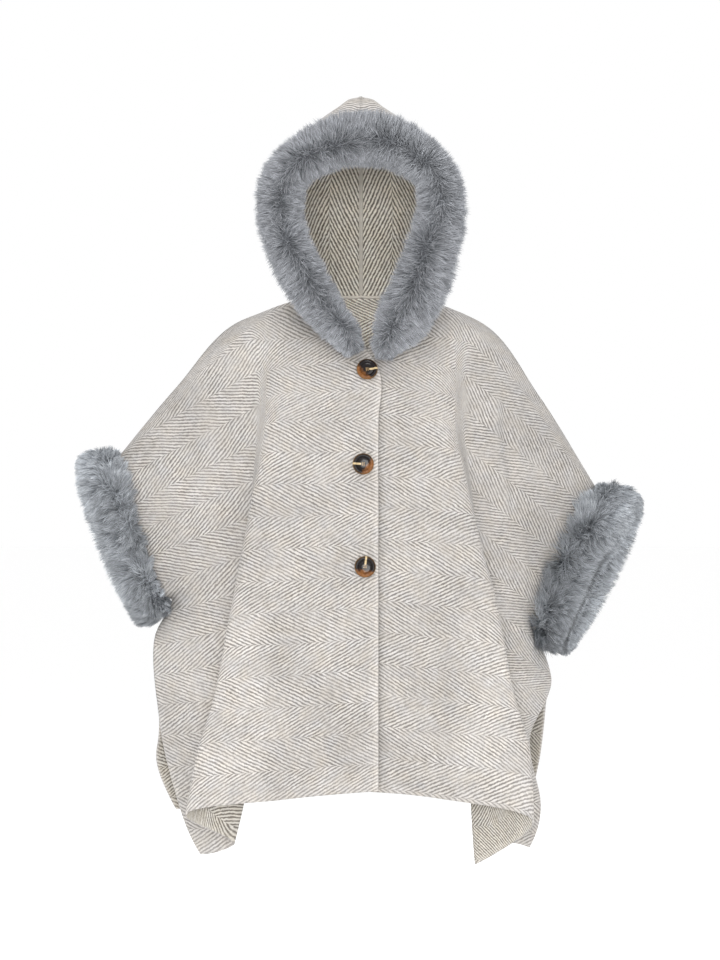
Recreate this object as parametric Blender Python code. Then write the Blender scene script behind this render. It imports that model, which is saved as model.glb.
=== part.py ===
"""Hooded herringbone poncho with fur trim, as it hangs when worn: hollow and held at the shoulders.

Metres, +Z up. The wearer faces -Y and their right side is -X. The origin lies between the shoulders,
at the height where the shoulders carry the cloth. The tables below are in millimetres.
"""
import math
from collections import namedtuple

import bpy
import numpy as np

MM = 0.001

# Driving sizes
CLOTH = 2.6            # wall of the felted wool
EDGE_TRIM = 0.25       # every cloth edge stops this far short of its seam line
FLAT_CORNER = -0.5     # cosine past which a corner counts as part of a straight edge
MITRE_LIMIT = 0.6      # cosine past which a mitred cut edge grows no longer
SHARP_EDGE = 50        # degrees between two faces from which their edge shows
FUR_GAP = 0.4          # fur to the cloth edge that it is sewn to
FUR_FLATNESS = 0.72    # depth of the hood's fur roll over its width
FUR_END = dict(reach=0.35, width=0.62)    # the roll's rounded ends, as shares of its half width there
BINDING = dict(height=5.0, thickness=1.6, gap=0.4, columns=3)
BUTTON = dict(radius=12.7, height=5.6, gap=0.35)

# Sections of the right front from the overarm seam to the hem. Each runs from the neckline or lap edge
# over the chest to the ridge of the side fold, back into its valley and out along the arm to the side.
Section = namedtuple("Section", "centre chest ridge valley arm")
FRONT_RIGHT = (
    Section((-72, 10, 14), (-99, 12, 6), (-125, 14, -4), (-152, 18, -15), (-229, 34, -95)),
    Section((-66, -34, 0), (-93, -35, -4), (-118, -30, -13), (-139, -22, -27), (-221, 4, -110)),
    Section((-40, -70, -27), (-80, -72, -27), (-115, -60, -35), (-132, -51, -50), (-214, -18, -124)),
    Section((5, -91, -52), (-58, -95, -58), (-114, -79, -68), (-128, -71, -80), (-210, -31, -146)),
    Section((20, -101, -76), (-50, -104, -82), (-114, -88, -91), (-126, -79, -100), (-208, -38, -166)),
    Section((20, -112, -140), (-48, -114, -141), (-116, -98, -145), (-127, -86, -152), (-205, -46, -236)),
    Section((20, -119, -235), (-56, -121, -239), (-134, -104, -245), (-133, -84, -254), (-202, -37, -322)),
    Section((20, -121, -330), (-66, -122, -335), (-153, -107, -344), (-139, -74, -358), (-202, -24, -366)),
    Section((20, -121, -365), (-69, -122, -371), (-160, -108, -380), (-139, -70, -396), (-207, -22, -405)),
    Section((20, -121, -430), (-75, -120, -436), (-172, -110, -446), (-140, -64, -466), (-207, -22, -482)),
    Section((20, -121, -458), (-78, -119, -465), (-179, -110, -475), (-139, -61, -498), (-203, -23, -514)),
    Section((20, -120, -515), (-86, -116, -522), (-195, -110, -533), (-139, -55, -566), (-190, -26, -578)),
    Section((20, -118, -581), (-94, -112, -592), (-211, -106, -611), (-157, -50, -653), (-179, -31, -664)),
)
FRONT_LEFT = (
    Section((72, 10, 14), (99, 12, 6), (125, 15, -4), (151, 19, -17), (221, 41, -105)),
    Section((66, -34, 0), (93, -35, -4), (118, -30, -13), (139, -22, -29), (215, 10, -124)),
    Section((40, -70, -27), (80, -72, -27), (115, -60, -36), (132, -51, -52), (210, -13, -145)),
    Section((9, -85.5, -52), (58, -91, -58), (114, -79, -70), (128, -71, -83), (205, -27, -166)),
    Section((-16, -95.6, -76), (50, -97.4, -83), (114, -88, -95), (126, -79, -105), (202, -34, -186)),
    Section((-16, -106, -140), (48, -107.4, -143), (114, -98, -151), (127, -87, -159), (197, -41, -262)),
    Section((-16, -113.2, -235), (58, -114.2, -240), (136, -104, -251), (138, -84, -266), (194, -30, -342)),
    Section((-16, -115.2, -330), (70, -116, -337), (162, -107, -352), (146, -71, -373), (195, -18, -388)),
    Section((-16, -115.2, -365), (74, -115.6, -373), (169, -107, -388), (145, -67, -412), (200, -16, -424)),
    Section((-16, -115.2, -430), (80, -115, -438), (181, -108, -455), (142, -61, -485), (198, -16, -484)),
    Section((-16, -115, -460), (83.5, -114.3, -468), (189, -108, -485), (139.5, -58, -520), (189, -18, -519)),
    Section((-16, -114.2, -515), (90, -112, -524), (203, -106, -542), (136, -52, -590), (174, -24, -590)),
    Section((-16, -112, -581), (94, -108, -591), (208, -98, -620), (142, -42, -676), (180, -26, -654)),
)
ROWS_BETWEEN = (2, 2, 2, 2, 2, 3, 3, 1, 2, 1, 2, 3)
COLUMNS_BETWEEN = (4, 5, 6, 6, 6)
NECK_SECTIONS = 3      # sections whose inner end is on the neckline, after the first
CUFF_SECTION = 7       # the section that ends at the bottom of the arm opening
VENT_SECTION = 9       # the section that ends at the top of the side vent

# Arm openings: flat loops, with the turns (degrees from the top) where the front's sections end;
# reach and rise size the fur along the sleeve and out from it, at the loop's top and bottom
Cuff = namedtuple("Cuff", "top bottom half_depth front reach rise")
CUFF_RIGHT = Cuff((-300, 50, -179), (-238, 52, -369), 44, (-0.08, -1, 0), (1.03, 0.82), (1, 0.7))
CUFF_LEFT = Cuff((292, 60, -220), (219, 60, -402), 44, (-0.28, -1, 0), (1.15, 0.84), (1, 0.7))
FRONT_TURNS = (0, 20, 40, 58, 72, 106, 143, 180)
BACK_TURNS = (0, 30, 66, 104, 143, 180)

# Side seams: two points below the arm opening, the second the vent's top, then the front's and the
# back's own edges from there to the hem
SIDE_RIGHT = dict(seam=((-256, 50, -402), (-251, 44, -506)),
                  front=((-246, 38, -537), (-222, 15, -620), (-198, -5, -669)),
                  back=((-254, 60, -566), (-232, 72, -621)))
SIDE_LEFT = dict(seam=((234, 58, -441), (231, 53, -484)),
                 front=((211, 40, -524), (222, 12, -610), (208, 3, -662)),
                 back=((221, 66, -570), (203, 74, -630)))

# Sections of the back below its top edge; the blade is for the right, mirrored for the left
BackSection = namedtuple("BackSection", "centre blade right_arm left_arm")
BACK = (
    BackSection((0, 84, -22), (-104, 66, -24), (-214, 63, -104), (210, 67, -124)),
    BackSection((0, 99, -85), (-114, 89, -86), (-211, 84, -142), (206, 86, -160)),
    BackSection((0, 105, -165), (-118, 100, -168), (-207, 95, -204), (202, 96, -218)),
    BackSection((0, 107, -250), (-120, 103, -256), (-202, 98, -276), (197, 98, -288)),
    BackSection((0, 108, -345), (-124, 102, -352), (-199, 92, -364), (194, 93, -374)),
    BackSection((0, 108, -385), (-126, 102, -393), (-204, 89, -408), (198, 90, -421)),
    BackSection((0, 108, -440), (-128, 101, -450), (-206, 84, -478), (198, 86, -472)),
    BackSection((0, 109, -522), (-132, 101, -534), (-200, 90, -562), (186, 92, -556)),
    BackSection((0, 110, -590), (-136, 101, -606), (-182, 93, -618), (170, 94, -622)),
)
BACK_ROWS_BETWEEN = (2, 2, 2, 2, 2, 1, 2, 2, 3)
BACK_COLUMNS_BETWEEN = (12, 15, 8)
BACK_CUFF_SECTION = 5  # the back's sections that end at the bottom of the arm opening and at the vent
BACK_VENT_SECTION = 7
SEAM_COLUMNS = 8       # columns over which the back bends to meet the side seams
BACK_NECK = ((-72, 10, 14), (-61, 38, 17), (-35, 55, 18), (0, 60, 18))
NECK_COLUMNS_BETWEEN = (4, 2, 2)
NECK_COLUMNS = sum(NECK_COLUMNS_BETWEEN)
# Soft folds that hang in the back: middle, half width and depth, all growing from the start height
FOLD_GROWTH = 300      # height over which a fold comes to its depth
FOLD_POWER = 1.5       # above 1, so that it starts softly
BackFold = namedtuple("BackFold", "x half_width depth start")
BACK_FOLDS = (
    BackFold(-150, 34, -11, -250),
    BackFold(-92, 30, 9, -190),
    BackFold(-34, 36, -8, -300),
    BackFold(38, 32, 8, -240),
    BackFold(98, 34, -10, -280),
    BackFold(158, 30, 8, -200),
)

# Fur roll round the face, from its right end over the top to its left end
FurStation = namedtuple("FurStation", "x y z half_width")
HOOD_FUR = (
    FurStation(-9, -113, -55, 13),
    FurStation(-19, -113, -37, 20),
    FurStation(-41, -112, -12, 25),
    FurStation(-71, -109, 34, 29),
    FurStation(-91, -104, 78, 29),
    FurStation(-99, -99, 125, 29),
    FurStation(-88, -92, 163, 29),
    FurStation(-53, -86, 190, 31),
    FurStation(2, -83, 204, 34),
    FurStation(60, -86, 188, 31),
    FurStation(89, -92, 162, 28),
    FurStation(98, -99, 122, 30),
    FurStation(88, -104, 70, 33),
    FurStation(69, -109, 16, 36),
    FurStation(48, -112, -22, 32),
    FurStation(32, -113, -46, 20),
    FurStation(29, -113, -61, 11),
)
FUR_STEPS = 3          # rings between two stations
FUR_SIDES = 12
# Sections of the hood above the neckline. Each starts at a fur station, counted from the roll's end.
HoodSection = namedtuple("HoodSection", "station temple nape seam")
HOOD = (
    HoodSection(2, (-82, 0, 42), (-56, 60, 52), (0, 82, 52)),
    HoodSection(3, (-97, 0, 86), (-69, 78, 94), (0, 103, 96)),
    HoodSection(5, (-105, 0, 142), (-74, 84, 143), (0, 112, 146)),
    HoodSection(6, (-91, 0, 190), (-63, 74, 184), (0, 107, 192)),
    HoodSection(7, (-58, 0, 227), (-42, 56, 218), (0, 93, 222)),
    HoodSection(8, (0, 2, 264), (0, 42, 262), (0, 75, 249)),
)
HOOD_COLUMNS = (6, 5, 3)
HOOD_EDGE_COLUMNS = 4  # columns over which the hood bends to meet its fur

# Cuff fur: outline of its roll, along the sleeve and out from the arm opening's loop
CUFF_PROFILE = ((0.5, -4), (1, 1), (13, 12.5), (23, 19), (38, 19), (53, 14), (61, 5), (61, -2), (53, -5))
CUFF_STEPS = 28

# Buttons: name, distance from the middle and height of each
BUTTONS = (("button_top", 7.2, -79), ("button_middle", 2.4, -191), ("button_bottom", 4.8, -313.5))
BUTTON_SIDES = 28
# A button's profile from its back edge over the rim into the dish, as shares of its radius and height
ButtonRing = namedtuple("ButtonRing", "radius height")
BUTTON_PROFILE = (
    ButtonRing(0.80, 0.0),
    ButtonRing(1.0, 0.39),
    ButtonRing(0.93, 0.86),
    ButtonRing(0.80, 1.0),
    ButtonRing(0.66, 0.9),
    ButtonRing(0.56, 0.61),
)
SEAT_POINTS = 6        # points of the lap that give a button its direction
SEAT_REACH = 2.2       # radii round a button within which the lap stays under it


def hermite_knots(points):
    """Chord lengths and tangents of a smooth curve through points, given along the first axis."""
    steps = np.linalg.norm(np.diff(points, axis=0), axis=-1)
    if steps.ndim > 1:
        steps = steps.mean(axis=1)
    steps = np.maximum(steps, 1e-6)
    column = (slice(None),) + (None,) * (points.ndim - 1)
    slopes = np.diff(points, axis=0) / steps[column]
    tangents = np.empty_like(points)
    before = steps[:-1][column]
    after = steps[1:][column]
    tangents[1:-1] = (slopes[:-1] * after + slopes[1:] * before) / (before + after)
    tangents[0] = 1.5 * slopes[0] - 0.5 * tangents[1]
    tangents[-1] = 1.5 * slopes[-1] - 0.5 * tangents[-2]
    return steps, tangents


def smooth_curve(points, cells):
    """Points on a smooth curve through the given ones, with so many cells between each two."""
    points = np.asarray(points, float)
    steps, tangents = hermite_knots(points)
    made = []
    for i, count in enumerate(cells):
        for j in range(count):
            t = j / count
            start = (2 * t ** 3 - 3 * t ** 2 + 1) * points[i]
            start_pull = (t ** 3 - 2 * t ** 2 + t) * steps[i] * tangents[i]
            end = (3 * t ** 2 - 2 * t ** 3) * points[i + 1]
            end_pull = (t ** 3 - t ** 2) * steps[i] * tangents[i + 1]
            made.append(start + start_pull + end + end_pull)
    made.append(points[-1])
    return np.array(made)


def unit(vectors):
    """Vectors scaled to length one."""
    lengths = np.linalg.norm(vectors, axis=-1, keepdims=True)
    return vectors / np.maximum(lengths, 1e-9)


def mirror(point):
    """The same point on the wearer's other side."""
    return (-point[0], point[1], point[2])


def cuff_frame(cuff):
    """Centre, half height, front direction and outward sleeve axis of an arm opening's loop."""
    top = np.array(cuff.top, float)
    bottom = np.array(cuff.bottom, float)
    half_height = (top - bottom) / 2
    front = unit(np.array(cuff.front, float))
    axis = unit(np.cross(front, half_height))
    if axis[0] * top[0] < 0:
        axis = -axis
    return (top + bottom) / 2, half_height, front, axis


def cuff_point(cuff, degrees):
    """Point on an arm opening's loop: 0 at its top, 90 in front, 180 at its bottom, 270 behind."""
    centre, half_height, front, _ = cuff_frame(cuff)
    turn = math.radians(degrees)
    return centre + math.cos(turn) * half_height + math.sin(turn) * cuff.half_depth * front


def front_grid(sections, cuff, side_seam):
    """Outer face of a front, rows from the overarm seam to the hem, columns from the middle out."""
    sides = [cuff_point(cuff, turn) for turn in FRONT_TURNS]
    sides += [*side_seam["seam"], *side_seam["front"]]
    rows = [smooth_curve([*section, side], COLUMNS_BETWEEN) for section, side in zip(sections, sides)]
    return smooth_curve(np.array(rows), ROWS_BETWEEN)


def row_of(section, between):
    """Grid row at which a section lies."""
    return sum(between[:section])


def fold_push(points):
    """How far the back's folds push each of its points out."""
    push = np.zeros(points.shape[:-1])
    for fold in BACK_FOLDS:
        grown = np.clip((fold.start - points[..., 2]) / FOLD_GROWTH, 0, 1)
        across = np.exp(-((points[..., 0] - fold.x) / fold.half_width) ** 2)
        push += fold.depth * grown ** FOLD_POWER * across
    return push


def back_grid(right, left):
    """Outer face of the back, columns from the right arm opening to the left one."""
    neck = smooth_curve(BACK_NECK, NECK_COLUMNS_BETWEEN)
    neck_left = neck[::-1] * (-1, 1, 1)
    top = np.concatenate([right[0, ::-1], neck[1:], neck_left[1:], left[0, 1:]])
    right_sides = [cuff_point(CUFF_RIGHT, -turn) for turn in BACK_TURNS[1:]]
    right_sides += [*SIDE_RIGHT["seam"], *SIDE_RIGHT["back"]]
    left_sides = [cuff_point(CUFF_LEFT, -turn) for turn in BACK_TURNS[1:]]
    left_sides += [*SIDE_LEFT["seam"], *SIDE_LEFT["back"]]
    rows = [top]
    columns = BACK_COLUMNS_BETWEEN + BACK_COLUMNS_BETWEEN[::-1]
    for section, right_side, left_side in zip(BACK, right_sides, left_sides):
        stations = [right_side, section.right_arm, section.blade, section.centre]
        stations += [mirror(section.blade), section.left_arm, left_side]
        rows.append(smooth_curve(stations, columns))
    grid = smooth_curve(np.array(rows), BACK_ROWS_BETWEEN)
    from_side = np.minimum(np.arange(grid.shape[1]), np.arange(grid.shape[1])[::-1])
    away = np.clip(from_side / SEAM_COLUMNS, 0, 1)
    grid[..., 1] += fold_push(grid) * away
    front_seam = slice(row_of(CUFF_SECTION, ROWS_BETWEEN), row_of(VENT_SECTION, ROWS_BETWEEN) + 1)
    back_seam = slice(row_of(BACK_CUFF_SECTION, BACK_ROWS_BETWEEN),
                      row_of(BACK_VENT_SECTION, BACK_ROWS_BETWEEN) + 1)
    for column, front in ((0, right), (-1, left)):
        shift = front[front_seam, -1] - grid[back_seam, column]
        near = (1 - away) * (np.arange(grid.shape[1]) < grid.shape[1] / 2)
        if column < 0:
            near = near[::-1]
        grid[back_seam] += near[None, :, None] * shift[:, None, :]
    return grid


def fur_curve():
    """Middle line of the hood's fur roll with its half widths, FUR_STEPS rings to a station."""
    return smooth_curve(np.array(HOOD_FUR), (FUR_STEPS,) * (len(HOOD_FUR) - 1))


def fur_back(curve, station):
    """Where the hood's edge meets the back of the fur roll."""
    x, y, z, half_width = curve[station]
    return np.array((x, y + FUR_FLATNESS * half_width + FUR_GAP, z))


def hood_grid(front, back_neck, curve, side):
    """Outer face of a hood half, rows from the neckline up, columns from the face to the middle seam."""
    neck_rows = row_of(NECK_SECTIONS, ROWS_BETWEEN)
    edge = [fur_back(curve, ring if side < 0 else len(curve) - 1 - ring) for ring in range(len(curve))]
    rows = [np.concatenate([front[neck_rows::-1, 0], back_neck[1:]])]
    rows_between = []
    below = 0
    for section in HOOD:
        flip = np.array((-side, 1, 1))
        points = [edge[section.station * FUR_STEPS], section.temple * flip, section.nape * flip, section.seam]
        rows.append(smooth_curve(points, HOOD_COLUMNS))
        rows_between.append((section.station - below) * FUR_STEPS)
        below = section.station
    grid = smooth_curve(np.array(rows), rows_between)
    fade = np.clip(1 - np.arange(grid.shape[1]) / HOOD_EDGE_COLUMNS, 0, 1)
    for row in range(rows_between[0], len(grid)):
        grid[row] += np.outer(fade, edge[row] - grid[row, 0])
    grid[:, -1] = smooth_curve([back_neck[-1], *(section.seam for section in HOOD)], rows_between)
    grid[-1, :, 0] = 0
    return grid


def grid_normals(grid, facing):
    """Outward direction at each point of a grid. The last corner may be flat, as at the hood's peak."""
    across = np.gradient(grid, axis=1)
    down = np.gradient(grid, axis=0)
    normals = unit(np.cross(across, down)) * facing
    normals[-1, -1] = unit(normals[-1, -2] + normals[-2, -1])
    for edge in (0, -1):
        side = normals[:, edge].copy()
        normals[1:-1, edge] = unit(side[:-2] + 2 * side[1:-1] + side[2:])
    return normals


def place_key(point):
    """Name of a place, shared by points that are sewn together."""
    return tuple(np.round(point, 3) + 0.0)


def seam_normals(grids, normals):
    """Lets the pieces that meet at a seam share one direction there, so that their cut edges match."""
    sums = {}
    for name, grid in grids.items():
        for point, normal in zip(grid.reshape(-1, 3), normals[name].reshape(-1, 3)):
            key = place_key(point)
            sums[key] = sums.get(key, 0) + normal
    shared = {}
    for name, grid in grids.items():
        directions = [sums[place_key(point)] for point in grid.reshape(-1, 3)]
        shared[name] = unit(np.array(directions)).reshape(grid.shape)
    return shared


def flatten_at_cuff(directions, columns, rows, axis):
    """Keeps the cut edge round an arm opening in the opening's own plane."""
    edge = directions[rows, columns]
    directions[rows, columns] = unit(edge - np.outer(edge @ axis, axis))


def square_to(line, neighbours):
    """Directions from a line of points to the neighbouring line, square to the line itself."""
    along = unit(np.gradient(line, axis=0))
    inward = neighbours - line
    return unit(inward - along * np.sum(inward * along, axis=-1, keepdims=True))


def trim_edges(grid, amount):
    """Draws the four edges of a grid back along its own surface, and flat corners into their cells."""
    trimmed = grid.copy()
    for edge, next_to in ((0, 1), (-1, -2)):
        trimmed[edge] += square_to(grid[edge], grid[next_to]) * amount
        trimmed[:, edge] += square_to(grid[:, edge], grid[:, next_to]) * amount
    for row, next_row in ((0, 1), (-1, -2)):
        for column, next_column in ((0, 1), (-1, -2)):
            corner = grid[row, column]
            along = unit(grid[row, next_column] - corner)
            down = unit(grid[next_row, column] - corner)
            if along @ down < FLAT_CORNER:
                trimmed[row, column] = corner + 2 * amount * unit(grid[next_row, next_column] - corner)
    return trimmed


def wall_thickness(own, shared):
    """Thickness along the shared direction that keeps the wall even across a mitred seam."""
    slant = np.sum(own * shared, axis=-1, keepdims=True)
    return CLOTH / np.clip(slant, MITRE_LIMIT, 1)


def mesh_object(name, points, faces, material):
    """A named object from points in millimetres."""
    mesh = bpy.data.meshes.new(name)
    mesh.from_pydata((np.asarray(points) * MM).tolist(), [], faces)
    mesh.shade_smooth()
    mesh.set_sharp_from_angle(angle=math.radians(SHARP_EDGE))
    mesh.materials.append(material)
    made = bpy.data.objects.new(name, mesh)
    bpy.context.scene.collection.objects.link(made)
    return made


def wall_faces(grid, facing):
    """Faces of a closed wall: outer grid, inner grid and the four cut edges."""
    rows, columns = grid.shape[:2]
    keys = [place_key((-abs(x), y, z)) for x, y, z in grid.reshape(-1, 3)]
    size = rows * columns
    faces = []
    for r in range(rows - 1):
        for c in range(columns - 1):
            a = r * columns + c
            outer = (a, a + columns, a + columns + 1, a + 1)
            faces.append(outer)
            faces.append(tuple(size + i for i in outer[::-1]))
    top = [c for c in range(columns)]
    far = [r * columns + columns - 1 for r in range(rows)]
    bottom = [(rows - 1) * columns + c for c in range(columns)][::-1]
    near = [r * columns for r in range(rows)][::-1]
    rim = top[:-1] + far[:-1] + bottom[:-1] + near[:-1]
    for a, b in zip(rim, rim[1:] + rim[:1]):
        # pieces that share a cut edge split it along the same diagonal, mirrored on the other side
        if keys[a] < keys[b]:
            faces += [(a, b, size + b), (a, size + b, size + a)]
        else:
            faces += [(a, b, size + a), (b, size + b, size + a)]
    if facing > 0:
        faces = [face[::-1] for face in faces]
    return faces


def cloth_wall(name, grid, inner, facing, material):
    """One cloth piece as a closed wall, drawn back a little from its seams."""
    outer = trim_edges(grid, EDGE_TRIM)
    inner = trim_edges(inner, EDGE_TRIM)
    points = np.concatenate([outer.reshape(-1, 3), inner.reshape(-1, 3)])
    return mesh_object(name, points, wall_faces(grid, facing), material)


def ring_faces(rings, sides, closed):
    """Faces of a tube through rings of points, closed on itself or with its ends filled."""
    faces = []
    for r in range(rings if closed else rings - 1):
        after = (r + 1) % rings
        for s in range(sides):
            t = (s + 1) % sides
            faces.append((r * sides + s, r * sides + t, after * sides + t, after * sides + s))
    if not closed:
        faces.append(tuple(range(sides))[::-1])
        faces.append(tuple((rings - 1) * sides + s for s in range(sides)))
    return faces


def hood_fur(curve, material):
    """Fur roll round the face, with rounded ends."""
    middle = curve[:, :3]
    half_widths = curve[:, 3].copy()
    along = unit(np.gradient(middle, axis=0))
    depth = np.array((0.0, -1.0, 0.0))
    across = unit(np.cross(depth, along))
    rings = []
    for end, inward in ((0, 1), (-1, -1)):
        cap = middle[end] - inward * along[end] * half_widths[end] * FUR_END["reach"]
        rings.append((cap, across[end], half_widths[end] * FUR_END["width"]))
    body = list(zip(middle, across, half_widths))
    points = []
    for centre, sideways, half_width in [rings[0], *body, rings[1]]:
        for s in range(FUR_SIDES):
            turn = 2 * math.pi * s / FUR_SIDES
            out = math.cos(turn) * half_width * sideways
            points.append(centre + out + math.sin(turn) * half_width * FUR_FLATNESS * depth)
    return mesh_object("hood_fur", points, ring_faces(len(body) + 2, FUR_SIDES, False), material)


def cuff_fur(name, cuff, facing, material):
    """Fur roll round an arm opening."""
    centre, half_height, front, axis = cuff_frame(cuff)
    height = np.linalg.norm(half_height)
    up = half_height / height
    points = []
    for step in range(CUFF_STEPS):
        turn = 2 * math.pi * step / CUFF_STEPS
        loop = centre + math.cos(turn) * half_height + math.sin(turn) * cuff.half_depth * front
        out = unit(math.cos(turn) * cuff.half_depth * up + math.sin(turn) * height * front)
        top_share = (1 + math.cos(turn)) / 2
        reach = cuff.reach[1] + (cuff.reach[0] - cuff.reach[1]) * top_share
        rise = cuff.rise[1] + (cuff.rise[0] - cuff.rise[1]) * top_share
        for along, away in CUFF_PROFILE:
            along = along if along <= 1 else 1 + (along - 1) * reach
            away = away if away <= 1 else 1 + (away - 1) * rise
            points.append(loop + along * axis + away * out)
    faces = ring_faces(CUFF_STEPS, len(CUFF_PROFILE), True)
    if facing < 0:
        faces = [face[::-1] for face in faces]
    return mesh_object(name, points, faces, material)


def neck_binding(seam, inward, below, above, material):
    """Narrow binding over the ridge of the neck seam, inside the back of the collar line."""
    half = BINDING["height"] / 2
    near = BINDING["gap"] * inward
    far = near + BINDING["thickness"] * inward
    low = seam + half * unit(below - seam)
    high = seam + half * unit(above - seam)
    rings = np.stack([low + near, low + far, seam + far, high + far, high + near, seam + near], axis=1)
    faces = [face[::-1] for face in ring_faces(len(seam), rings.shape[1], False)]
    return mesh_object("neck_binding", rings.reshape(-1, 3), faces, material)


def seat_on(grid, normals, x, z):
    """Place and outward direction on the lap for a button at x and z, clear of the cloth under it."""
    flat = grid.reshape(-1, 3)
    distance = np.hypot(flat[:, 0] - x, flat[:, 2] - z)
    nearest = np.argsort(distance)[:SEAT_POINTS]
    weights = 1 / (distance[nearest] + 1)
    direction = unit(weights @ normals.reshape(-1, 3)[nearest])
    under = flat[distance < SEAT_REACH * BUTTON["radius"]]
    reach = (under @ direction).max()
    seat = np.array((x, weights @ flat[nearest, 1] / weights.sum(), z))
    return seat + (reach + BUTTON["gap"] - seat @ direction) * direction, direction


def button(name, seat, direction, material):
    """Turned button with a raised rim round a dished middle."""
    right = unit(np.cross((0.0, 0.0, 1.0), direction))
    up = np.cross(direction, right)
    points = []
    for ring in BUTTON_PROFILE:
        middle = seat + ring.height * BUTTON["height"] * direction
        for s in range(BUTTON_SIDES):
            turn = 2 * math.pi * s / BUTTON_SIDES
            outward = math.cos(turn) * right + math.sin(turn) * up
            points.append(middle + ring.radius * BUTTON["radius"] * outward)
    faces = ring_faces(len(BUTTON_PROFILE), BUTTON_SIDES, False)
    return mesh_object(name, points, faces, material)


def principled(name, colour, roughness):
    """Plain material of one colour."""
    material = bpy.data.materials.new(name)
    material.use_nodes = True
    shader = material.node_tree.nodes["Principled BSDF"]
    shader.inputs["Base Color"].default_value = (*colour, 1)
    shader.inputs["Roughness"].default_value = roughness
    shader.inputs["Metallic"].default_value = 0
    return material


def main():
    for old in list(bpy.data.objects):
        bpy.data.objects.remove(old, do_unlink=True)
    wool = principled("wool", (0.58, 0.54, 0.48), 0.95)
    fur = principled("fur", (0.24, 0.28, 0.32), 0.9)
    tortoiseshell = principled("tortoiseshell", (0.10, 0.045, 0.02), 0.2)
    beige = principled("binding", (0.55, 0.49, 0.42), 0.9)

    curve = fur_curve()
    right = front_grid(FRONT_RIGHT, CUFF_RIGHT, SIDE_RIGHT)
    left = front_grid(FRONT_LEFT, CUFF_LEFT, SIDE_LEFT)
    back = back_grid(right, left)
    first = sum(COLUMNS_BETWEEN)
    right_neck = back[0, first:first + NECK_COLUMNS + 1]
    left_neck = back[0, first + NECK_COLUMNS:first + 2 * NECK_COLUMNS + 1][::-1]
    grids = dict(front_right=right, front_left=left, back=back,
                 hood_right=hood_grid(right, right_neck, curve, -1),
                 hood_left=hood_grid(left, left_neck, curve, 1))
    facings = dict(front_right=1, front_left=-1, back=1, hood_right=-1, hood_left=1)
    own = {name: grid_normals(grid, facings[name]) for name, grid in grids.items()}
    shared = seam_normals(grids, own)

    front_cuff = slice(0, row_of(CUFF_SECTION - 1, ROWS_BETWEEN))
    back_cuff = slice(0, row_of(BACK_CUFF_SECTION - 1, BACK_ROWS_BETWEEN) + 1)
    right_axis = cuff_frame(CUFF_RIGHT)[3]
    left_axis = cuff_frame(CUFF_LEFT)[3]
    flatten_at_cuff(shared["front_right"], -1, front_cuff, right_axis)
    flatten_at_cuff(shared["front_left"], -1, front_cuff, left_axis)
    flatten_at_cuff(shared["back"], 0, back_cuff, right_axis)
    flatten_at_cuff(shared["back"], -1, back_cuff, left_axis)

    inner = {}
    for name, grid in grids.items():
        inner[name] = grid - shared[name] * wall_thickness(own[name], shared[name])
        cloth_wall(name, grid, inner[name], facings[name], wool)

    hood_fur(curve, fur)
    cuff_fur("cuff_fur_right", CUFF_RIGHT, 1, fur)
    cuff_fur("cuff_fur_left", CUFF_LEFT, -1, fur)
    shown = BINDING["columns"]
    neck = slice(first + NECK_COLUMNS - shown, first + NECK_COLUMNS + shown + 1)
    hood_inside = np.concatenate([inner["hood_right"][1, -shown - 1:],
                                  inner["hood_left"][1, -shown - 1:-1][::-1]])
    neck_binding(inner["back"][0, neck], -shared["back"][0, neck], inner["back"][1, neck], hood_inside, beige)
    for name, x, z in BUTTONS:
        seat, direction = seat_on(right, shared["front_right"], x, z)
        button(name, seat, direction, tortoiseshell)


main()
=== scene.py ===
"""Finished look of the hooded poncho: woven cloth, fur, buttons, binding, stage, lights and camera.

The cloth's tables are those of the part's source, in millimetres, worked out to a finer grid here.
Meshes are in metres: +Z up, the wearer faces -Y and their right side is -X.
"""

import itertools
import math
from collections import namedtuple
from types import SimpleNamespace

import bpy
import numpy as np
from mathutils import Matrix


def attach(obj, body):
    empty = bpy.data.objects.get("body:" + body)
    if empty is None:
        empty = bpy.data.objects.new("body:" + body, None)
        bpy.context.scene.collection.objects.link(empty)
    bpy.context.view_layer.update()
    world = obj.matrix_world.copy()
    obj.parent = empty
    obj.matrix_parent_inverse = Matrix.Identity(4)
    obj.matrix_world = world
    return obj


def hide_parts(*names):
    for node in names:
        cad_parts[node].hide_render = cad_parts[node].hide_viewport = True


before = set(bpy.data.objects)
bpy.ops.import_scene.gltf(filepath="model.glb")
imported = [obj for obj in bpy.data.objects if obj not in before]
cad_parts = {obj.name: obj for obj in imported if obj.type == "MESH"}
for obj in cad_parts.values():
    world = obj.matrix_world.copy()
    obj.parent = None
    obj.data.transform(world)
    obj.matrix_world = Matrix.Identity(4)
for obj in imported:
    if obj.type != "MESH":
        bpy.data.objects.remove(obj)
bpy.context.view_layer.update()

MM = 0.001
FINE = 4               # cells of the finished cloth to one cell of the part
FORWARDS = np.array((0.0, -1.0, 0.0))
CLOTH_SEED = 11
FUR_SEED = 23


def table(kind, *rows):
    """Rows of a table, each with the names of its kind."""
    return tuple(kind(*row) for row in rows)


# Sizes of the part
CLOTH = 2.6            # wall of the cloth
MITRE_LIMIT = 0.6
FUR_GAP = 0.4
FUR_FLATNESS = 0.72    # depth of the hood's fur roll as a share of its width
BINDING = dict(height=5.0, thickness=1.6, gap=0.4, columns=3)
BUTTON = dict(radius=12.7, height=5.6)

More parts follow.
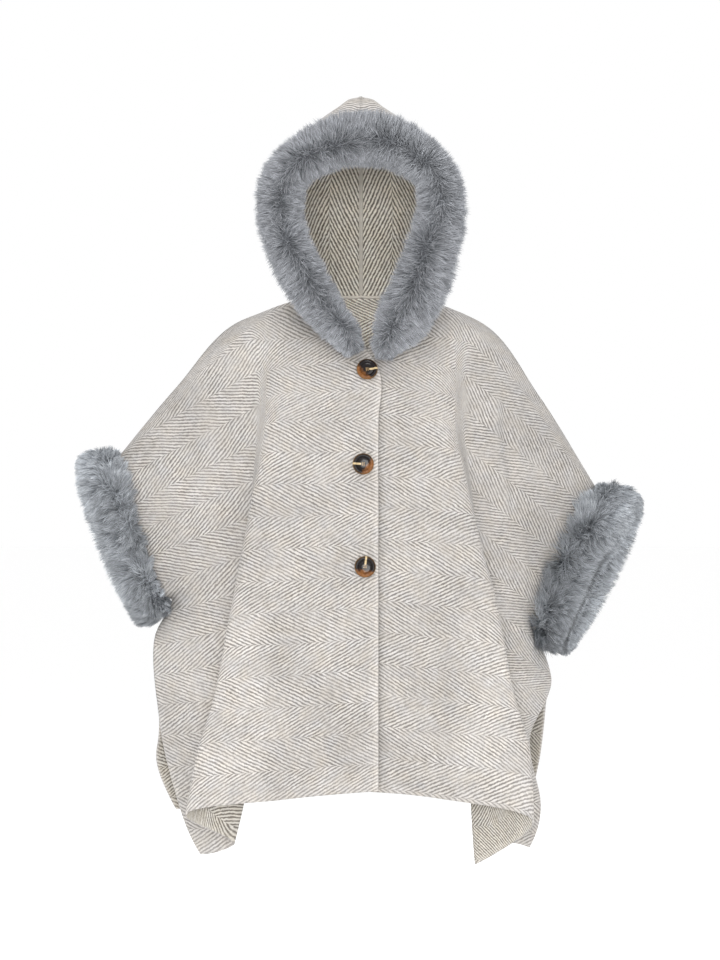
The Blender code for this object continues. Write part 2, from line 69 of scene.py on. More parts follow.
# Sections of the fronts from the overarm seam to the hem
Section = namedtuple("Section", "centre chest ridge valley arm")
FRONT_RIGHT = table(
    Section,
    ((-72, 10, 14), (-99, 12, 6), (-125, 14, -4), (-152, 18, -15), (-229, 34, -95)),
    ((-66, -34, 0), (-93, -35, -4), (-118, -30, -13), (-139, -22, -27), (-221, 4, -110)),
    ((-40, -70, -27), (-80, -72, -27), (-115, -60, -35), (-132, -51, -50), (-214, -18, -124)),
    ((5, -91, -52), (-58, -95, -58), (-114, -79, -68), (-128, -71, -80), (-210, -31, -146)),
    ((20, -101, -76), (-50, -104, -82), (-114, -88, -91), (-126, -79, -100), (-208, -38, -166)),
    ((20, -112, -140), (-48, -114, -141), (-116, -98, -145), (-127, -86, -152), (-205, -46, -236)),
    ((20, -119, -235), (-56, -121, -239), (-134, -104, -245), (-133, -84, -254), (-202, -37, -322)),
    ((20, -121, -330), (-66, -122, -335), (-153, -107, -344), (-139, -74, -358), (-202, -24, -366)),
    ((20, -121, -365), (-69, -122, -371), (-160, -108, -380), (-139, -70, -396), (-207, -22, -405)),
    ((20, -121, -430), (-75, -120, -436), (-172, -110, -446), (-140, -64, -466), (-207, -22, -482)),
    ((20, -121, -458), (-78, -119, -465), (-179, -110, -475), (-139, -61, -498), (-203, -23, -514)),
    ((20, -120, -515), (-86, -116, -522), (-195, -110, -533), (-139, -55, -566), (-190, -26, -578)),
    ((20, -118, -581), (-94, -112, -592), (-211, -106, -611), (-157, -50, -653), (-179, -31, -664)),
)
FRONT_LEFT = table(
    Section,
    ((72, 10, 14), (99, 12, 6), (125, 15, -4), (151, 19, -17), (221, 41, -105)),
    ((66, -34, 0), (93, -35, -4), (118, -30, -13), (139, -22, -29), (215, 10, -124)),
    ((40, -70, -27), (80, -72, -27), (115, -60, -36), (132, -51, -52), (210, -13, -145)),
    ((9, -85.5, -52), (58, -91, -58), (114, -79, -70), (128, -71, -83), (205, -27, -166)),
    ((-16, -95.6, -76), (50, -97.4, -83), (114, -88, -95), (126, -79, -105), (202, -34, -186)),
    ((-16, -106, -140), (48, -107.4, -143), (114, -98, -151), (127, -87, -159), (197, -41, -262)),
    ((-16, -113.2, -235), (58, -114.2, -240), (136, -104, -251), (138, -84, -266), (194, -30, -342)),
    ((-16, -115.2, -330), (70, -116, -337), (162, -107, -352), (146, -71, -373), (195, -18, -388)),
    ((-16, -115.2, -365), (74, -115.6, -373), (169, -107, -388), (145, -67, -412), (200, -16, -424)),
    ((-16, -115.2, -430), (80, -115, -438), (181, -108, -455), (142, -61, -485), (198, -16, -484)),
    ((-16, -115, -460), (83.5, -114.3, -468), (189, -108, -485), (139.5, -58, -520), (189, -18, -519)),
    ((-16, -114.2, -515), (90, -112, -524), (203, -106, -542), (136, -52, -590), (174, -24, -590)),
    ((-16, -112, -581), (94, -108, -591), (208, -98, -620), (142, -42, -676), (180, -26, -654)),
)
ROWS_BETWEEN = (2, 2, 2, 2, 2, 3, 3, 1, 2, 1, 2, 3)
COLUMNS_BETWEEN = (4, 5, 6, 6, 6)
NECK_SECTIONS = 3
CUFF_SECTION = 7
VENT_SECTION = 9

Cuff = namedtuple("Cuff", "top bottom half_depth front reach rise")
CUFF_RIGHT = Cuff((-300, 50, -179), (-238, 52, -369), 44, (-0.08, -1, 0), (1.03, 0.82), (1, 0.7))
CUFF_LEFT = Cuff((292, 60, -220), (219, 60, -402), 44, (-0.28, -1, 0), (1.15, 0.84), (1, 0.7))
FRONT_TURNS = (0, 20, 40, 58, 72, 106, 143, 180)
BACK_TURNS = (0, 30, 66, 104, 143, 180)

SIDE_RIGHT = dict(seam=((-256, 50, -402), (-251, 44, -506)),
                  front=((-246, 38, -537), (-222, 15, -620), (-198, -5, -669)),
                  back=((-254, 60, -566), (-232, 72, -621)))
SIDE_LEFT = dict(seam=((234, 58, -441), (231, 53, -484)),
                 front=((211, 40, -524), (222, 12, -610), (208, 3, -662)),
                 back=((221, 66, -570), (203, 74, -630)))

BackSection = namedtuple("BackSection", "centre blade right_arm left_arm")
BACK = table(
    BackSection,
    ((0, 84, -22), (-104, 66, -24), (-214, 63, -104), (210, 67, -124)),
    ((0, 99, -85), (-114, 89, -86), (-211, 84, -142), (206, 86, -160)),
    ((0, 105, -165), (-118, 100, -168), (-207, 95, -204), (202, 96, -218)),
    ((0, 107, -250), (-120, 103, -256), (-202, 98, -276), (197, 98, -288)),
    ((0, 108, -345), (-124, 102, -352), (-199, 92, -364), (194, 93, -374)),
    ((0, 108, -385), (-126, 102, -393), (-204, 89, -408), (198, 90, -421)),
    ((0, 108, -440), (-128, 101, -450), (-206, 84, -478), (198, 86, -472)),
    ((0, 109, -522), (-132, 101, -534), (-200, 90, -562), (186, 92, -556)),
    ((0, 110, -590), (-136, 101, -606), (-182, 93, -618), (170, 94, -622)),
)
BACK_ROWS_BETWEEN = (2, 2, 2, 2, 2, 1, 2, 2, 3)
BACK_COLUMNS_BETWEEN = (12, 15, 8)
BACK_CUFF_SECTION = 5
BACK_VENT_SECTION = 7
SEAM_COLUMNS = 8
BACK_NECK = ((-72, 10, 14), (-61, 38, 17), (-35, 55, 18), (0, 60, 18))
NECK_COLUMNS_BETWEEN = (4, 2, 2)
NECK_COLUMNS = FINE * sum(NECK_COLUMNS_BETWEEN)
FOLD_GROWTH = 300
FOLD_POWER = 1.5
BackFold = namedtuple("BackFold", "x half_width depth start")
BACK_FOLDS = table(
    BackFold,
    (-150, 34, -11, -250),
    (-92, 30, 9, -190),
    (-34, 36, -8, -300),
    (38, 32, 8, -240),
    (98, 34, -10, -280),
    (158, 30, 8, -200),
)

FurStation = namedtuple("FurStation", "x y z half_width")
HOOD_FUR = table(
    FurStation,
    (-9, -113, -55, 13),
    (-19, -113, -37, 20),
    (-41, -112, -12, 25),
    (-71, -109, 34, 29),
    (-91, -104, 78, 29),
    (-99, -99, 125, 29),
    (-88, -92, 163, 29),
    (-53, -86, 190, 31),
    (2, -83, 204, 34),
    (60, -86, 188, 31),
    (89, -92, 162, 28),
    (98, -99, 122, 30),
    (88, -104, 70, 33),
    (69, -109, 16, 36),
    (48, -112, -22, 32),
    (32, -113, -46, 20),
    (29, -113, -61, 11),
)
FUR_STEPS = 3
HoodSection = namedtuple("HoodSection", "station temple nape seam")
HOOD = table(
    HoodSection,
    (2, (-82, 0, 42), (-56, 60, 52), (0, 82, 52)),
    (3, (-97, 0, 86), (-69, 78, 94), (0, 103, 96)),
    (5, (-105, 0, 142), (-74, 84, 143), (0, 112, 146)),
    (6, (-91, 0, 190), (-63, 74, 184), (0, 107, 192)),
    (7, (-58, 0, 227), (-42, 56, 218), (0, 93, 222)),
    (8, (0, 2, 264), (0, 42, 262), (0, 75, 249)),
)
HOOD_COLUMNS = (6, 5, 3)
HOOD_EDGE_COLUMNS = 4

CUFF_PROFILE = ((0.5, -4), (1, 1), (13, 12.5), (23, 19), (38, 19), (53, 14), (61, 5), (61, -2), (53, -5))

# Cloth finish
EDGE_BULGE = 0.38      # how far a free cut edge rounds out, as a share of the cloth's wall
INLAND = 10            # cells from the rim over which creases and waviness grow
UNEVEN = 0.5           # height of the cloth's soft waviness
UNEVEN_WAVES = 6       # waves in it, their lengths and about what they add up to
UNEVEN_LENGTHS = (70, 190)
UNEVEN_SUM = 2.4
ANY_START = (0, 6)     # start of a wave, in radians
PEAK_DROP = 2.0        # how far the hood's fold is rounded down at its peak, and filled out beside it
PEAK_FILL = 2.6
PEAK_WIDTH = 8.0
PEAK_START = 0.8       # share of the hood's rows from which this grows
LAP_X = 20.0           # the lap's edge
LAP_LIFT = 1.8         # how far the lap's edge stands off between the buttons
LAP_LIFT_WIDTH = 14.0
LAP_LIFT_TOP = (14, -26)  # heights from the top button between which it starts
LAP_HELD = 24          # how near a button holds it down
BUTTON_HEIGHTS = (-80, -192, -314)
CREASE_BEND = 4        # how far creases bend aside, and over how many half waves
CREASE_BENDS = (1.0, 2.2)
CREASE_ENDS = (-0.15, 0.25)  # shares of its length between which a crease grows from either end
CREASE_UNEVEN = 0.3
CREASE_UNEVEN_TURNS = (4, 9)
# Soft creases: a line in the front view (x, z), then half width, depth (below 0 is a trough) and how far
# the nap is rubbed there, so that the stripes fade
Crease = namedtuple("Crease", "start end half_width depth rubbed", defaults=(0,))
CREASES_RIGHT = table(
    Crease,
    ((-168, -120), (-150, -270), 9, -2.0),
    ((-188, -150), (-168, -330), 12, 1.6),
    ((-228, -190), (-196, -300), 9, -1.6),
    ((-146, -380), (-182, -520), 10, -1.8),
    ((-196, -420), (-214, -560), 9, 1.8),
    ((-30, -420), (-62, -575), 20, 1.6),
    ((-96, -300), (-120, -560), 22, -1.8),
    ((-70, -70), (-52, -190), 16, 1.4),
    ((-121, -114), (-124, -172), 6, 0.0, 0.9),
)
CREASES_LEFT = table(
    Crease,
    ((166, -96), (174, -262), 6, 2.4, 0.6),
    ((122, -90), (125, -150), 6, 0.0, 0.9),
    ((140, -18), (168, -52), 9, 0.6, 0.7),
    ((176, -110), (186, -250), 8, -1.8),
    ((196, -280), (200, -400), 7, 2.2),
    ((140, -180), (152, -330), 9, -1.8),
    ((206, -430), (196, -560), 8, 1.6),
    ((52, -400), (72, -580), 20, 1.6),
    ((106, -310), (138, -570), 22, -1.8),
    ((66, -80), (54, -200), 16, 1.4),
)
CREASES_BACK = table(
    Crease,
    ((-176, -110), (-150, -280), 12, -2.0),
    ((-216, -150), (-196, -330), 10, 1.8),
    ((174, -120), (150, -290), 12, -2.0),
    ((210, -170), (192, -340), 10, 1.8),
    ((-60, -60), (-40, -190), 18, 1.6),
    ((56, -70), (44, -200), 18, 1.6),
    ((-206, -430), (-190, -600), 9, -1.6),
    ((200, -430), (186, -600), 9, -1.6),
)

# Wear and painted light: how far the nap is rubbed, and how far the cloth is darker as painted shade, or
# paler below 0 as painted light. Patches start softly between two distances from the middle and two heights
WEAR_AND_PAINTED_LIGHT = SimpleNamespace(
    edge=0.6, edge_width=6, edge_shade=-0.2,
    # painted light on the hood's shaded inside
    inside=0.24, hood_inside_painted_light=-1.0,
    # painted light on the lap's rolled edge, and a painted shadow on the front under it
    lap_edge_painted_light=-0.5, lap_edge_width=3.5,
    lap_painted_shadow=0.45, lap_painted_shadow_width=6,
    lap_top=20,
    # painted light on the shoulders and on the lower sides, which lie in shade
    shoulder_painted_light=-0.4, shoulder=((70, 120), (-130, -30)), shoulder_seam_rows=2 * FINE,
    tail_painted_light=-0.3, tail=((100, 130), (-330, -430)),
    # painted light on the hood's peak
    peak_painted_light=-0.5, peak_heights=(220, 250),
    # painted light on the back's inside below the nape, in the collar's shade
    nape_inside_painted_light=-2.8, nape_heights=(-80, -20), nape_half_width=60,
)

# Ridge of the hood's middle seam: width and height of its outline, and where along the seam it ends
SEAM_PROFILE = ((-2.8, 0), (-2.3, 1.3), (-1.3, 1.7), (-0.3, 0.8), (0.3, 0.8), (1.3, 1.7),
                (2.3, 1.3), (2.8, 0), (0, -0.4))
SEAM_TOP = 0.97
# Neck tape: shares of its thickness where its edges round over, and of its half height that lies flat
TAPE_ROUND = 0.7
TAPE_FLAT = 0.75
TAPE_RIB = 0.0012      # in metres

# Flat cloth in metres and square metres, by kind of piece
Flat = namedtuple("Flat", "width length area")

# Weave: bands of slanted stripes that turn over from band to band
BAND = 38.0            # width of a band
STRIPE = 4.4           # a light and a dark stripe, across the band
SLANT = 0.55           # rise of the stripes along the band
HOOD_WEAVE = 0.92      # the stripes are wider on the hood, and steeper
HOOD_STEEPNESS = 0.84
BAND_START = 33.0      # distance down the cloth where the first band starts
# Distance down the cloth at heights of the chest
ChestLevel = namedtuple("ChestLevel", "height right left")
CHEST = table(
    ChestLevel,
    (20, 52, 55), (0, 72, 75), (-39, 109, 112), (-72, 147, 151),
    (-105, 185, 190), (-139, 223, 230), (-176, 260, 268),
    (-680, 764, 772))
# Bands on the arms: height where one crosses the line at x, its distance down the cloth and its slope;
# run is the share of the cloth's width that shows from the front
ArmBand = namedtuple("ArmBand", "height down slope")
ARM_RIGHT = dict(x=143, run=1.02, bands=table(
    ArmBand,
    (60, 17, 28), (-87, 147, 28), (-180, 229, 26), (-263, 303, 21),
    (-345, 375, 17), (-510, 527, 9), (-680, 690, 9)))
ARM_LEFT = dict(x=134, run=0.9, bands=table(
    ArmBand,
    (60, 18, 37), (-89, 147, 37), (-264, 299, 37), (-360, 384, 34),
    (-500, 515, 16), (-680, 690, 9)))
ARM_SLOPE_BACK = (33, 32, 30, 28, 24, 18, 12, 10, 9, 9)
CROSSING_ROUNDS = 6    # rounds in which a point's band is found
DRIFT_STEPS = 200
FOLD_SECTIONS = (3, 6)  # sections between which the fold under the arm grows
FOLD_START = 0.2       # share of the way from chest to ridge where the arm's weave starts above them
LEAST_RUN = 0.4        # least share of a step that goes across

# Wool's unevenness: noise with its scale to the metre, detail and roughness, turned into low to high, softly
# between two levels of the noise where they are given
Grain = namedtuple("Grain", "scale detail roughness low high levels", defaults=(None,))
WOOL = SimpleNamespace(
    band_wander=Grain(26, 3, 0.5, -0.0018, 0.0018),  # in metres
    stripe_wander=Grain(70, 2, 0.5, -0.25, 0.25),  # in stripes
    stripe_fray=Grain(260, 2, 0.5, -0.25, 0.25),
    threads=330,  # to the metre
    dashes=Grain(1, 2, 0.6, -0.6, 0.6),
    fibres=(760, 3, 0.7),
    fibres_in_stripes=0.9, stripe_levels=(0.02, 0.92),
    felting=Grain(34, 3, 0.5, 0, 1, (0.3, 0.75)),
    rubbed=0.85, felt_least=0.32, felt_fibres=0.5,
    specks=Grain(430, 1, 0.5, 1.0, 0.72, (0.66, 0.76)),
    patches=Grain(14, 5, 0.6, 0.91, 1.08, (0.3, 0.7)),
    flecks=Grain(120, 3, 0.6, 0.925, 1.075, (0.3, 0.7)),
    # strength of the painted light and shade
    shade=0.4,
    cool=Grain(48, 3, 0.6, 0.5, -0.5), cool_green=0.09, cool_blue=0.26,
    fibre_height=0.7,
)

# Fur: fibres as ribbons of a few steps that stand up, lie over and draw into tufts
FIBRE_TAPER = (1.0, 0.9, 0.6)  # width at the start of each step
FIBRE_STEPS = len(FIBRE_TAPER)
LIE_OVER = 0.95        # how far a fibre has lain over at its tip
STRAY_ROOT = 0.09      # how far it strays at its root, and further at its tip
STRAY_TIP = 0.1
TUFT_LEAN = 0.2        # how far the tufts lean out of the common lay
TUFT_POWER = 1.6       # how late along the fibres they draw together
TUFT_DRAW = (0.6, 1.2)
TUFT_TONES = (0.76, 1.24)
TUFT_CELLS = 64        # cells after which their places repeat
FIBRE_TONES = (0.62, 1.38)
FIBRE_WIDTHS = (0.7, 1.3)
FIBRE_TWIST = 0.25
FIBRE_ROUND = 0.45     # how far the light on a ribbon turns to its sides, as on a round fibre
TIP_ROUND = 0.3
RIM_GLOW = 0.8         # how far the fibres at the rim turn to the front or to the back
RIM_TURN = 0.25        # fibres that face further back than this turn to the back
FUR_ROOT = 0.62        # roots lie on a core this share of the roll's size
FEWER = 1.0
Fibres = namedtuple("Fibres", "roots normals lays places lengths tones rises starts tufting")
Wave = namedtuple("Wave", "height length start", defaults=(0,))  # length to a radian, start in radians

# Hood's fur, in millimetres along its roll and in degrees round it, from its outer rim over the front
HOOD_PILE = SimpleNamespace(
    count=38000,  # in each of the two pieces
    width=0.72, tuft=5.5, tuft_pull=0.46,
    ring_steps=16, core_sides=24, core_size=1.02, core_end=10, core_least=0.0004,
    width_weight=0.1,  # how far wide parts of the roll get more fibres
    turns=(-75, 255),
    parting=104, parting_waves=(Wave(7, 41), Wave(4, 17, 1)), parting_spread=12, parting_width=22,
    sway_waves=(Wave(0.22, 23), Wave(0.16, 9, 2)), sway_spread=0.16,
    hang=(0, 0, -0.12),
    end_reach=11, end_pull=1.4,
    rim=50, rim_shorter=0.16, rim_lower=0.5, rim_looser=0.6,
    length_share=0.72, length_limits=(10, 24), length_spread=(0.78, 1.1),
    corner_x=70, corner_width=22, corner_heights=(150, 170), corner_shorter=0.3,
    patch_lengths=(19, 7.3), patch_start=1.3,
    parting_shade=0.08, patch_shade=0.22, shade_width=17,
    rises=(28, 54),
    place_share=0.9,
)

# Cuffs' fur, in millimetres round the roll's outline from the cloth, and by turns round the arm opening from
# its top; upper, crest and behind start between two cosines or sines of the turn
CUFF_CORE = np.array((31.0, 5.0))
CUFF_JOIN = ((0.8, -0.6), (0.8, 0.6), (16.0, 4.0), (16.0, 1.0))  # strip from the core to the cloth
CUFF_PILE = SimpleNamespace(
    count=34000, width=0.75, tuft=6.5, tuft_pull=0.4,
    outline_steps=8, core_turns=97,
    # fibres inside the opening are paler, as painted light where the opening lies in shade
    outside=0.64, inside_share=0.18, inside_start=80, inside_painted_light=1.5, inside_tufting=0.3,
    beside_share=0.24, beside=26,
    cloth_side=(26, 4), cloth_side_root=0.85, way_columns=8, way_behind=0.4,
    opening_side=(48, 68), opening_flat=0.75, opening_lift=0.4, opening_way=(1.0, 0.15),
    parting_waves=(Wave(4, 1 / 3), Wave(3, 1 / 7, 1)), parting_spread=7, parting_width=11,
    least_along=0.35, out_share=0.35,
    sway_twist=0.01, sway_waves=(Wave(0.3, 1 / 5),), sway_turns=(Wave(0.25, 1 / 11, 2),), sway_spread=0.2,
    hang=(0, 0, -0.1),
    upper=(0.3, 0.9), crest=(0.8, 0.95),
    trim_front=(0.05, 0.45), trim_below=(0.5, 0.1),
    bulge=0.5, bulge_width=0.3, bulge_longer=0.7,
    lengths=(13, 20), lower_shorter=0.35, upper_shorter=0.15, crest_shorter=0.35,
    opening_shorter=0.16, upper_opening_shorter=0.04,
    over_least=6, over_waves=(Wave(0.18, 1 / 13, 1), Wave(0.14, 1 / 29)), over_spread=(0.7, 1.1),
    over_crest_shorter=0.75, behind=(0, -0.4), over_behind_shorter=0.7,
    rises=(30, 54), cloth_lower=0.55, below_lower=0.4, above_lower=0.65,
    parting_shade=0.08, shade_width=8,
    # painted light on the top and on the lower front lobe by the cloth; painted shade on the cut front rim
    # beside the groove
    upper_painted_light=0.35, lobe_painted_light=0.9, lobe_front=(0, 0.3), trim_painted_shade=0.9, trim_edge=(62, 70),
    gap_waves=(Wave(0.05, 9), Wave(0.03, 4)), gap_place=34, gap_reach=22, gap_part=0.5, gap_width=0.1,
    gap_shade=0.2, gap_shade_width=0.04,
    cloth_start=0.45, opening_start=0.55,
    loop_radius=75,
)
# Each cuff: part name, opening, side that faces out, where the fibres part, turns of cross partings in
# degrees, how far they lie over the cloth at the top and bottom, how far the opening's are cut, and tone
CuffLook = namedtuple("CuffLook", "name cuff facing parting gaps over trim tone")
CUFF_LOOKS = table(
    CuffLook,
    ("cuff_fur_right", CUFF_RIGHT, 1, 15, (52, 69, 86), (20, 8), 0.0, 0.86),
    ("cuff_fur_left", CUFF_LEFT, -1, 18, (), (17, 46), 0.5, 0.77),
)

# Buttons: part name, turn of the pale streak and of the amber side, in degrees
ButtonLook = namedtuple("ButtonLook", "name streak amber")
BUTTON_LOOKS = table(
    ButtonLook,
    ("button_top", 4, 225),
    ("button_middle", 178, -35),
    ("button_bottom", 84, 262),
)
# Outline from the back over the rim to the middle, in shares of the radius and of the height
BUTTON_PROFILE = ((0.80, 0.0), (0.95, 0.1), (1.0, 0.39), (0.94, 0.84), (0.80, 1.0), (0.68, 0.9), (0.58, 0.64),
                  (0.45, 0.58), (0.05, 0.56))
BUTTON_SIDES = 72
BUTTON_STEPS = 4
# Colouring, in shares of the radius
SHELL = SimpleNamespace(
    dark=(0.011, 0.009, 0.009),
    warm=((0.3, (0.09, 0.032, 0.01)), (0.6, (0.21, 0.085, 0.026)), (0.8, (0.3, 0.14, 0.05))),
    mottle=(2.6, 4.0, 0.6), mottle_share=0.5, amber=(0.42, 0.86),
    rim=(0.17, 0.095, 0.036), rim_from=(0.86, 0.98), rim_share=0.6,
    streak=(0.52, 0.4, 0.23), streak_side=(0.06, 0.12), streak_from=(0.16, 0.24),
    thread=(0.33, 0.22, 0.11), thread_place=0.08, thread_side=(0.03, 0.05), thread_end=(0.14, 0.2),
    thread_share=0.8,
)

# Stage, in metres and watts
Light = namedtuple("Light", "name place size power")
LIGHTS = table(
    Light,
    ("key", (-0.7, -3.0, 2.8), 1.5, 30),
    ("front", (-0.05, -4.7, 0.2), 1.6, 116),
    ("behind", (0.9, 4.4, 1.4), 2.4, 75),
)
LIGHTS_AIM = (0, 0, -0.2)
FLOOR_HALF = 40
FLOOR_HEIGHT = -1.1
CAMERA = SimpleNamespace(place=(-0.0012, -4.1, -0.210), sensor_height=36, lens=125, clip_end=200)


def hermite_knots(points):
    """Chord lengths and tangents of a smooth curve through points, given along the first axis."""
    steps = np.linalg.norm(np.diff(points, axis=0), axis=-1)
    if steps.ndim > 1:
        steps = steps.mean(axis=1)
    steps = np.maximum(steps, 1e-6)
    column = (slice(None),) + (None,) * (points.ndim - 1)
    slopes = np.diff(points, axis=0) / steps[column]
    tangents = np.empty_like(points)
    before = steps[:-1][column]
    after = steps[1:][column]
    tangents[1:-1] = (slopes[:-1] * after + slopes[1:] * before) / (before + after)
    tangents[0] = 1.5 * slopes[0] - 0.5 * tangents[1]
    tangents[-1] = 1.5 * slopes[-1] - 0.5 * tangents[-2]
    return steps, tangents


def smooth_curve(points, cells):
    """Points on a smooth curve through the given ones, with so many cells between each two."""
    points = np.asarray(points, float)
    steps, tangents = hermite_knots(points)
    made = []
    for i, count in enumerate(cells):
        for j in range(count):
            t = j / count
            start = (2 * t ** 3 - 3 * t ** 2 + 1) * points[i]
            start_pull = (t ** 3 - 2 * t ** 2 + t) * steps[i] * tangents[i]
            end = (3 * t ** 2 - 2 * t ** 3) * points[i + 1]
            end_pull = (t ** 3 - t ** 2) * steps[i] * tangents[i + 1]
            made.append(start + start_pull + end + end_pull)
    made.append(points[-1])
    return np.array(made)


def fine(cells):
    """The part's cells between two sections, split for the finished cloth."""
    return tuple(FINE * count for count in cells)


def unit(vectors):
    """Vectors scaled to length one."""
    lengths = np.linalg.norm(vectors, axis=-1, keepdims=True)
    return vectors / np.maximum(lengths, 1e-9)


def soft_share(values, start, end):
    """How far values have come from a start to an end, 0 to 1 with soft ends."""
    share = np.clip((values - start) / (end - start), 0, 1)
    return share * share * (3 - 2 * share)


def hump(values, middle, width):
    """1 at the middle, falling off softly on both sides."""
    return np.exp(-((values - middle) / width) ** 2)


def ripple(places, waves):
    """Sum of waves along places."""
    return sum(wave.height * np.sin(places / wave.length + wave.start) for wave in waves)


def mirror(point):
    """The same point on the wearer's other side."""
    return (-point[0], point[1], point[2])


def row_of(section, between):
    """Grid row at which a section lies, or column of a station."""
    return FINE * sum(between[:section])


def lengths_along(line):
    """Distance along a line of points, from its start."""
    steps = np.linalg.norm(np.diff(line, axis=0), axis=-1)
    return np.concatenate([[0], np.cumsum(steps)])


def cuff_frame(cuff):
    """Centre, half height, front direction and outward sleeve axis of an arm opening's loop."""
    top = np.array(cuff.top, float)
    bottom = np.array(cuff.bottom, float)
    half_height = (top - bottom) / 2
    front = unit(np.array(cuff.front, float))
    axis = unit(np.cross(front, half_height))
    if axis[0] * top[0] < 0:
        axis = -axis
    return (top + bottom) / 2, half_height, front, axis


def cuff_point(cuff, degrees):
    """Point on an arm opening's loop: 0 at its top, 90 in front, 180 at its bottom, 270 behind."""
    centre, half_height, front, _ = cuff_frame(cuff)
    turn = math.radians(degrees)
    return centre + math.cos(turn) * half_height + math.sin(turn) * cuff.half_depth * front


def front_grid(sections, cuff, side_seam):
    """Outer face of a front, rows from the overarm seam to the hem, columns from the middle out."""
    sides = [cuff_point(cuff, turn) for turn in FRONT_TURNS]
    sides += [*side_seam["seam"], *side_seam["front"]]
    rows = [smooth_curve([*section, side], fine(COLUMNS_BETWEEN)) for section, side in zip(sections, sides)]
    return smooth_curve(np.array(rows), fine(ROWS_BETWEEN))


def fold_push(points):
    """How far the back's folds push each of its points out."""
    push = np.zeros(points.shape[:-1])
    for fold in BACK_FOLDS:
        grown = np.clip((fold.start - points[..., 2]) / FOLD_GROWTH, 0, 1)
        push += fold.depth * grown ** FOLD_POWER * hump(points[..., 0], fold.x, fold.half_width)
    return push


def back_grid(right, left):
    """Outer face of the back, columns from the right arm opening to the left one."""
    neck = smooth_curve(BACK_NECK, fine(NECK_COLUMNS_BETWEEN))
    neck_left = neck[::-1] * (-1, 1, 1)
    top = np.concatenate([right[0, ::-1], neck[1:], neck_left[1:], left[0, 1:]])
    sides = []
    for cuff, side in ((CUFF_RIGHT, SIDE_RIGHT), (CUFF_LEFT, SIDE_LEFT)):
        opening = [cuff_point(cuff, -turn) for turn in BACK_TURNS[1:]]
        sides.append([*opening, *side["seam"], *side["back"]])
    rows = [top]
    columns = BACK_COLUMNS_BETWEEN + BACK_COLUMNS_BETWEEN[::-1]
    for section, right_side, left_side in zip(BACK, *sides):
        stations = [right_side, section.right_arm, section.blade, section.centre]
        stations += [mirror(section.blade), section.left_arm, left_side]
        rows.append(smooth_curve(stations, fine(columns)))
    grid = smooth_curve(np.array(rows), fine(BACK_ROWS_BETWEEN))
    from_side = np.minimum(np.arange(grid.shape[1]), np.arange(grid.shape[1])[::-1])
    away = np.clip(from_side / (SEAM_COLUMNS * FINE), 0, 1)
    grid[..., 1] += fold_push(grid) * away
    front_seam = slice(row_of(CUFF_SECTION, ROWS_BETWEEN), row_of(VENT_SECTION, ROWS_BETWEEN) + 1)
    back_seam = slice(row_of(BACK_CUFF_SECTION, BACK_ROWS_BETWEEN),
                      row_of(BACK_VENT_SECTION, BACK_ROWS_BETWEEN) + 1)
    for column, front in ((0, right), (-1, left)):
        shift = front[front_seam, -1] - grid[back_seam, column]
        near = (1 - away) * (np.arange(grid.shape[1]) < grid.shape[1] / 2)
        if column < 0:
            near = near[::-1]
        grid[back_seam] += near[None, :, None] * shift[:, None, :]
    return grid


def fur_back(curve, ring):
    """Where the hood's edge meets the back of the fur roll."""
    x, y, z, half_width = curve[ring]
    return np.array((x, y + FUR_FLATNESS * half_width + FUR_GAP, z))


def hood_grid(front, back_neck, side):
    """Outer face of a hood half, rows from the neckline up, columns from the face to the middle seam."""
    steps = FINE * FUR_STEPS
    curve = smooth_curve(np.array(HOOD_FUR), (steps,) * (len(HOOD_FUR) - 1))
    neck_rows = row_of(NECK_SECTIONS, ROWS_BETWEEN)
    edge = [fur_back(curve, ring if side < 0 else len(curve) - 1 - ring) for ring in range(len(curve))]
    rows = [np.concatenate([front[neck_rows::-1, 0], back_neck[1:]])]
    rows_between = []
    below = 0
    for section in HOOD:
        flip = np.array((-side, 1, 1))
        points = [edge[section.station * steps], section.temple * flip, section.nape * flip, section.seam]
        rows.append(smooth_curve(points, fine(HOOD_COLUMNS)))
        rows_between.append((section.station - below) * steps)
        below = section.station
    grid = smooth_curve(np.array(rows), rows_between)
    fade = np.clip(1 - np.arange(grid.shape[1]) / (HOOD_EDGE_COLUMNS * FINE), 0, 1)
    for row in range(rows_between[0], len(grid)):
        grid[row] += np.outer(fade, edge[row] - grid[row, 0])
    grid[:, -1] = smooth_curve([back_neck[-1], *(section.seam for section in HOOD)], rows_between)
    grid[-1, :, 0] = 0
    near_peak = soft_share(np.linspace(0, 1, len(grid)), PEAK_START, 1)[:, None]
    drop = PEAK_DROP * hump(grid[..., 0], 0, PEAK_WIDTH)
    fill = PEAK_FILL * hump(np.abs(grid[..., 0]), 2 * PEAK_WIDTH, PEAK_WIDTH)
    grid[..., 2] += near_peak * (fill - drop)
    return grid


def grid_normals(grid, facing):
    """Outward direction at each point of a grid. The last corner may be flat, as at the hood's peak."""
    across = np.gradient(grid, axis=1)
    down = np.gradient(grid, axis=0)
    normals = unit(np.cross(across, down)) * facing
    normals[-1, -1] = unit(normals[-1, -2] + normals[-2, -1])
    return normals


def place_key(point):
    """Name of a place, shared by points that are sewn together."""
    return tuple(np.round(point, 2) + 0.0)


def rim_of(rows, columns):
    """Row and column of each point round the rim of a grid, in order."""
    top = [(0, c) for c in range(columns - 1)]
    far = [(r, columns - 1) for r in range(rows - 1)]
    bottom = [(rows - 1, c) for c in range(columns - 1, 0, -1)]
    near = [(r, 0) for r in range(rows - 1, 0, -1)]
    return np.array(top + far + bottom + near)


def seam_normals(grids, normals):
    """Lets the pieces that meet at a seam share one direction there."""
    sums = {}
    for name, grid in grids.items():
        for row, column in rim_of(*grid.shape[:2]):
            key = place_key(grid[row, column])
            sums[key] = sums.get(key, 0) + normals[name][row, column]
    shared = {}
    for name, grid in grids.items():
        shared[name] = normals[name].copy()
        for row, column in rim_of(*grid.shape[:2]):
            shared[name][row, column] = unit(np.array(sums[place_key(grid[row, column])]))
    return shared


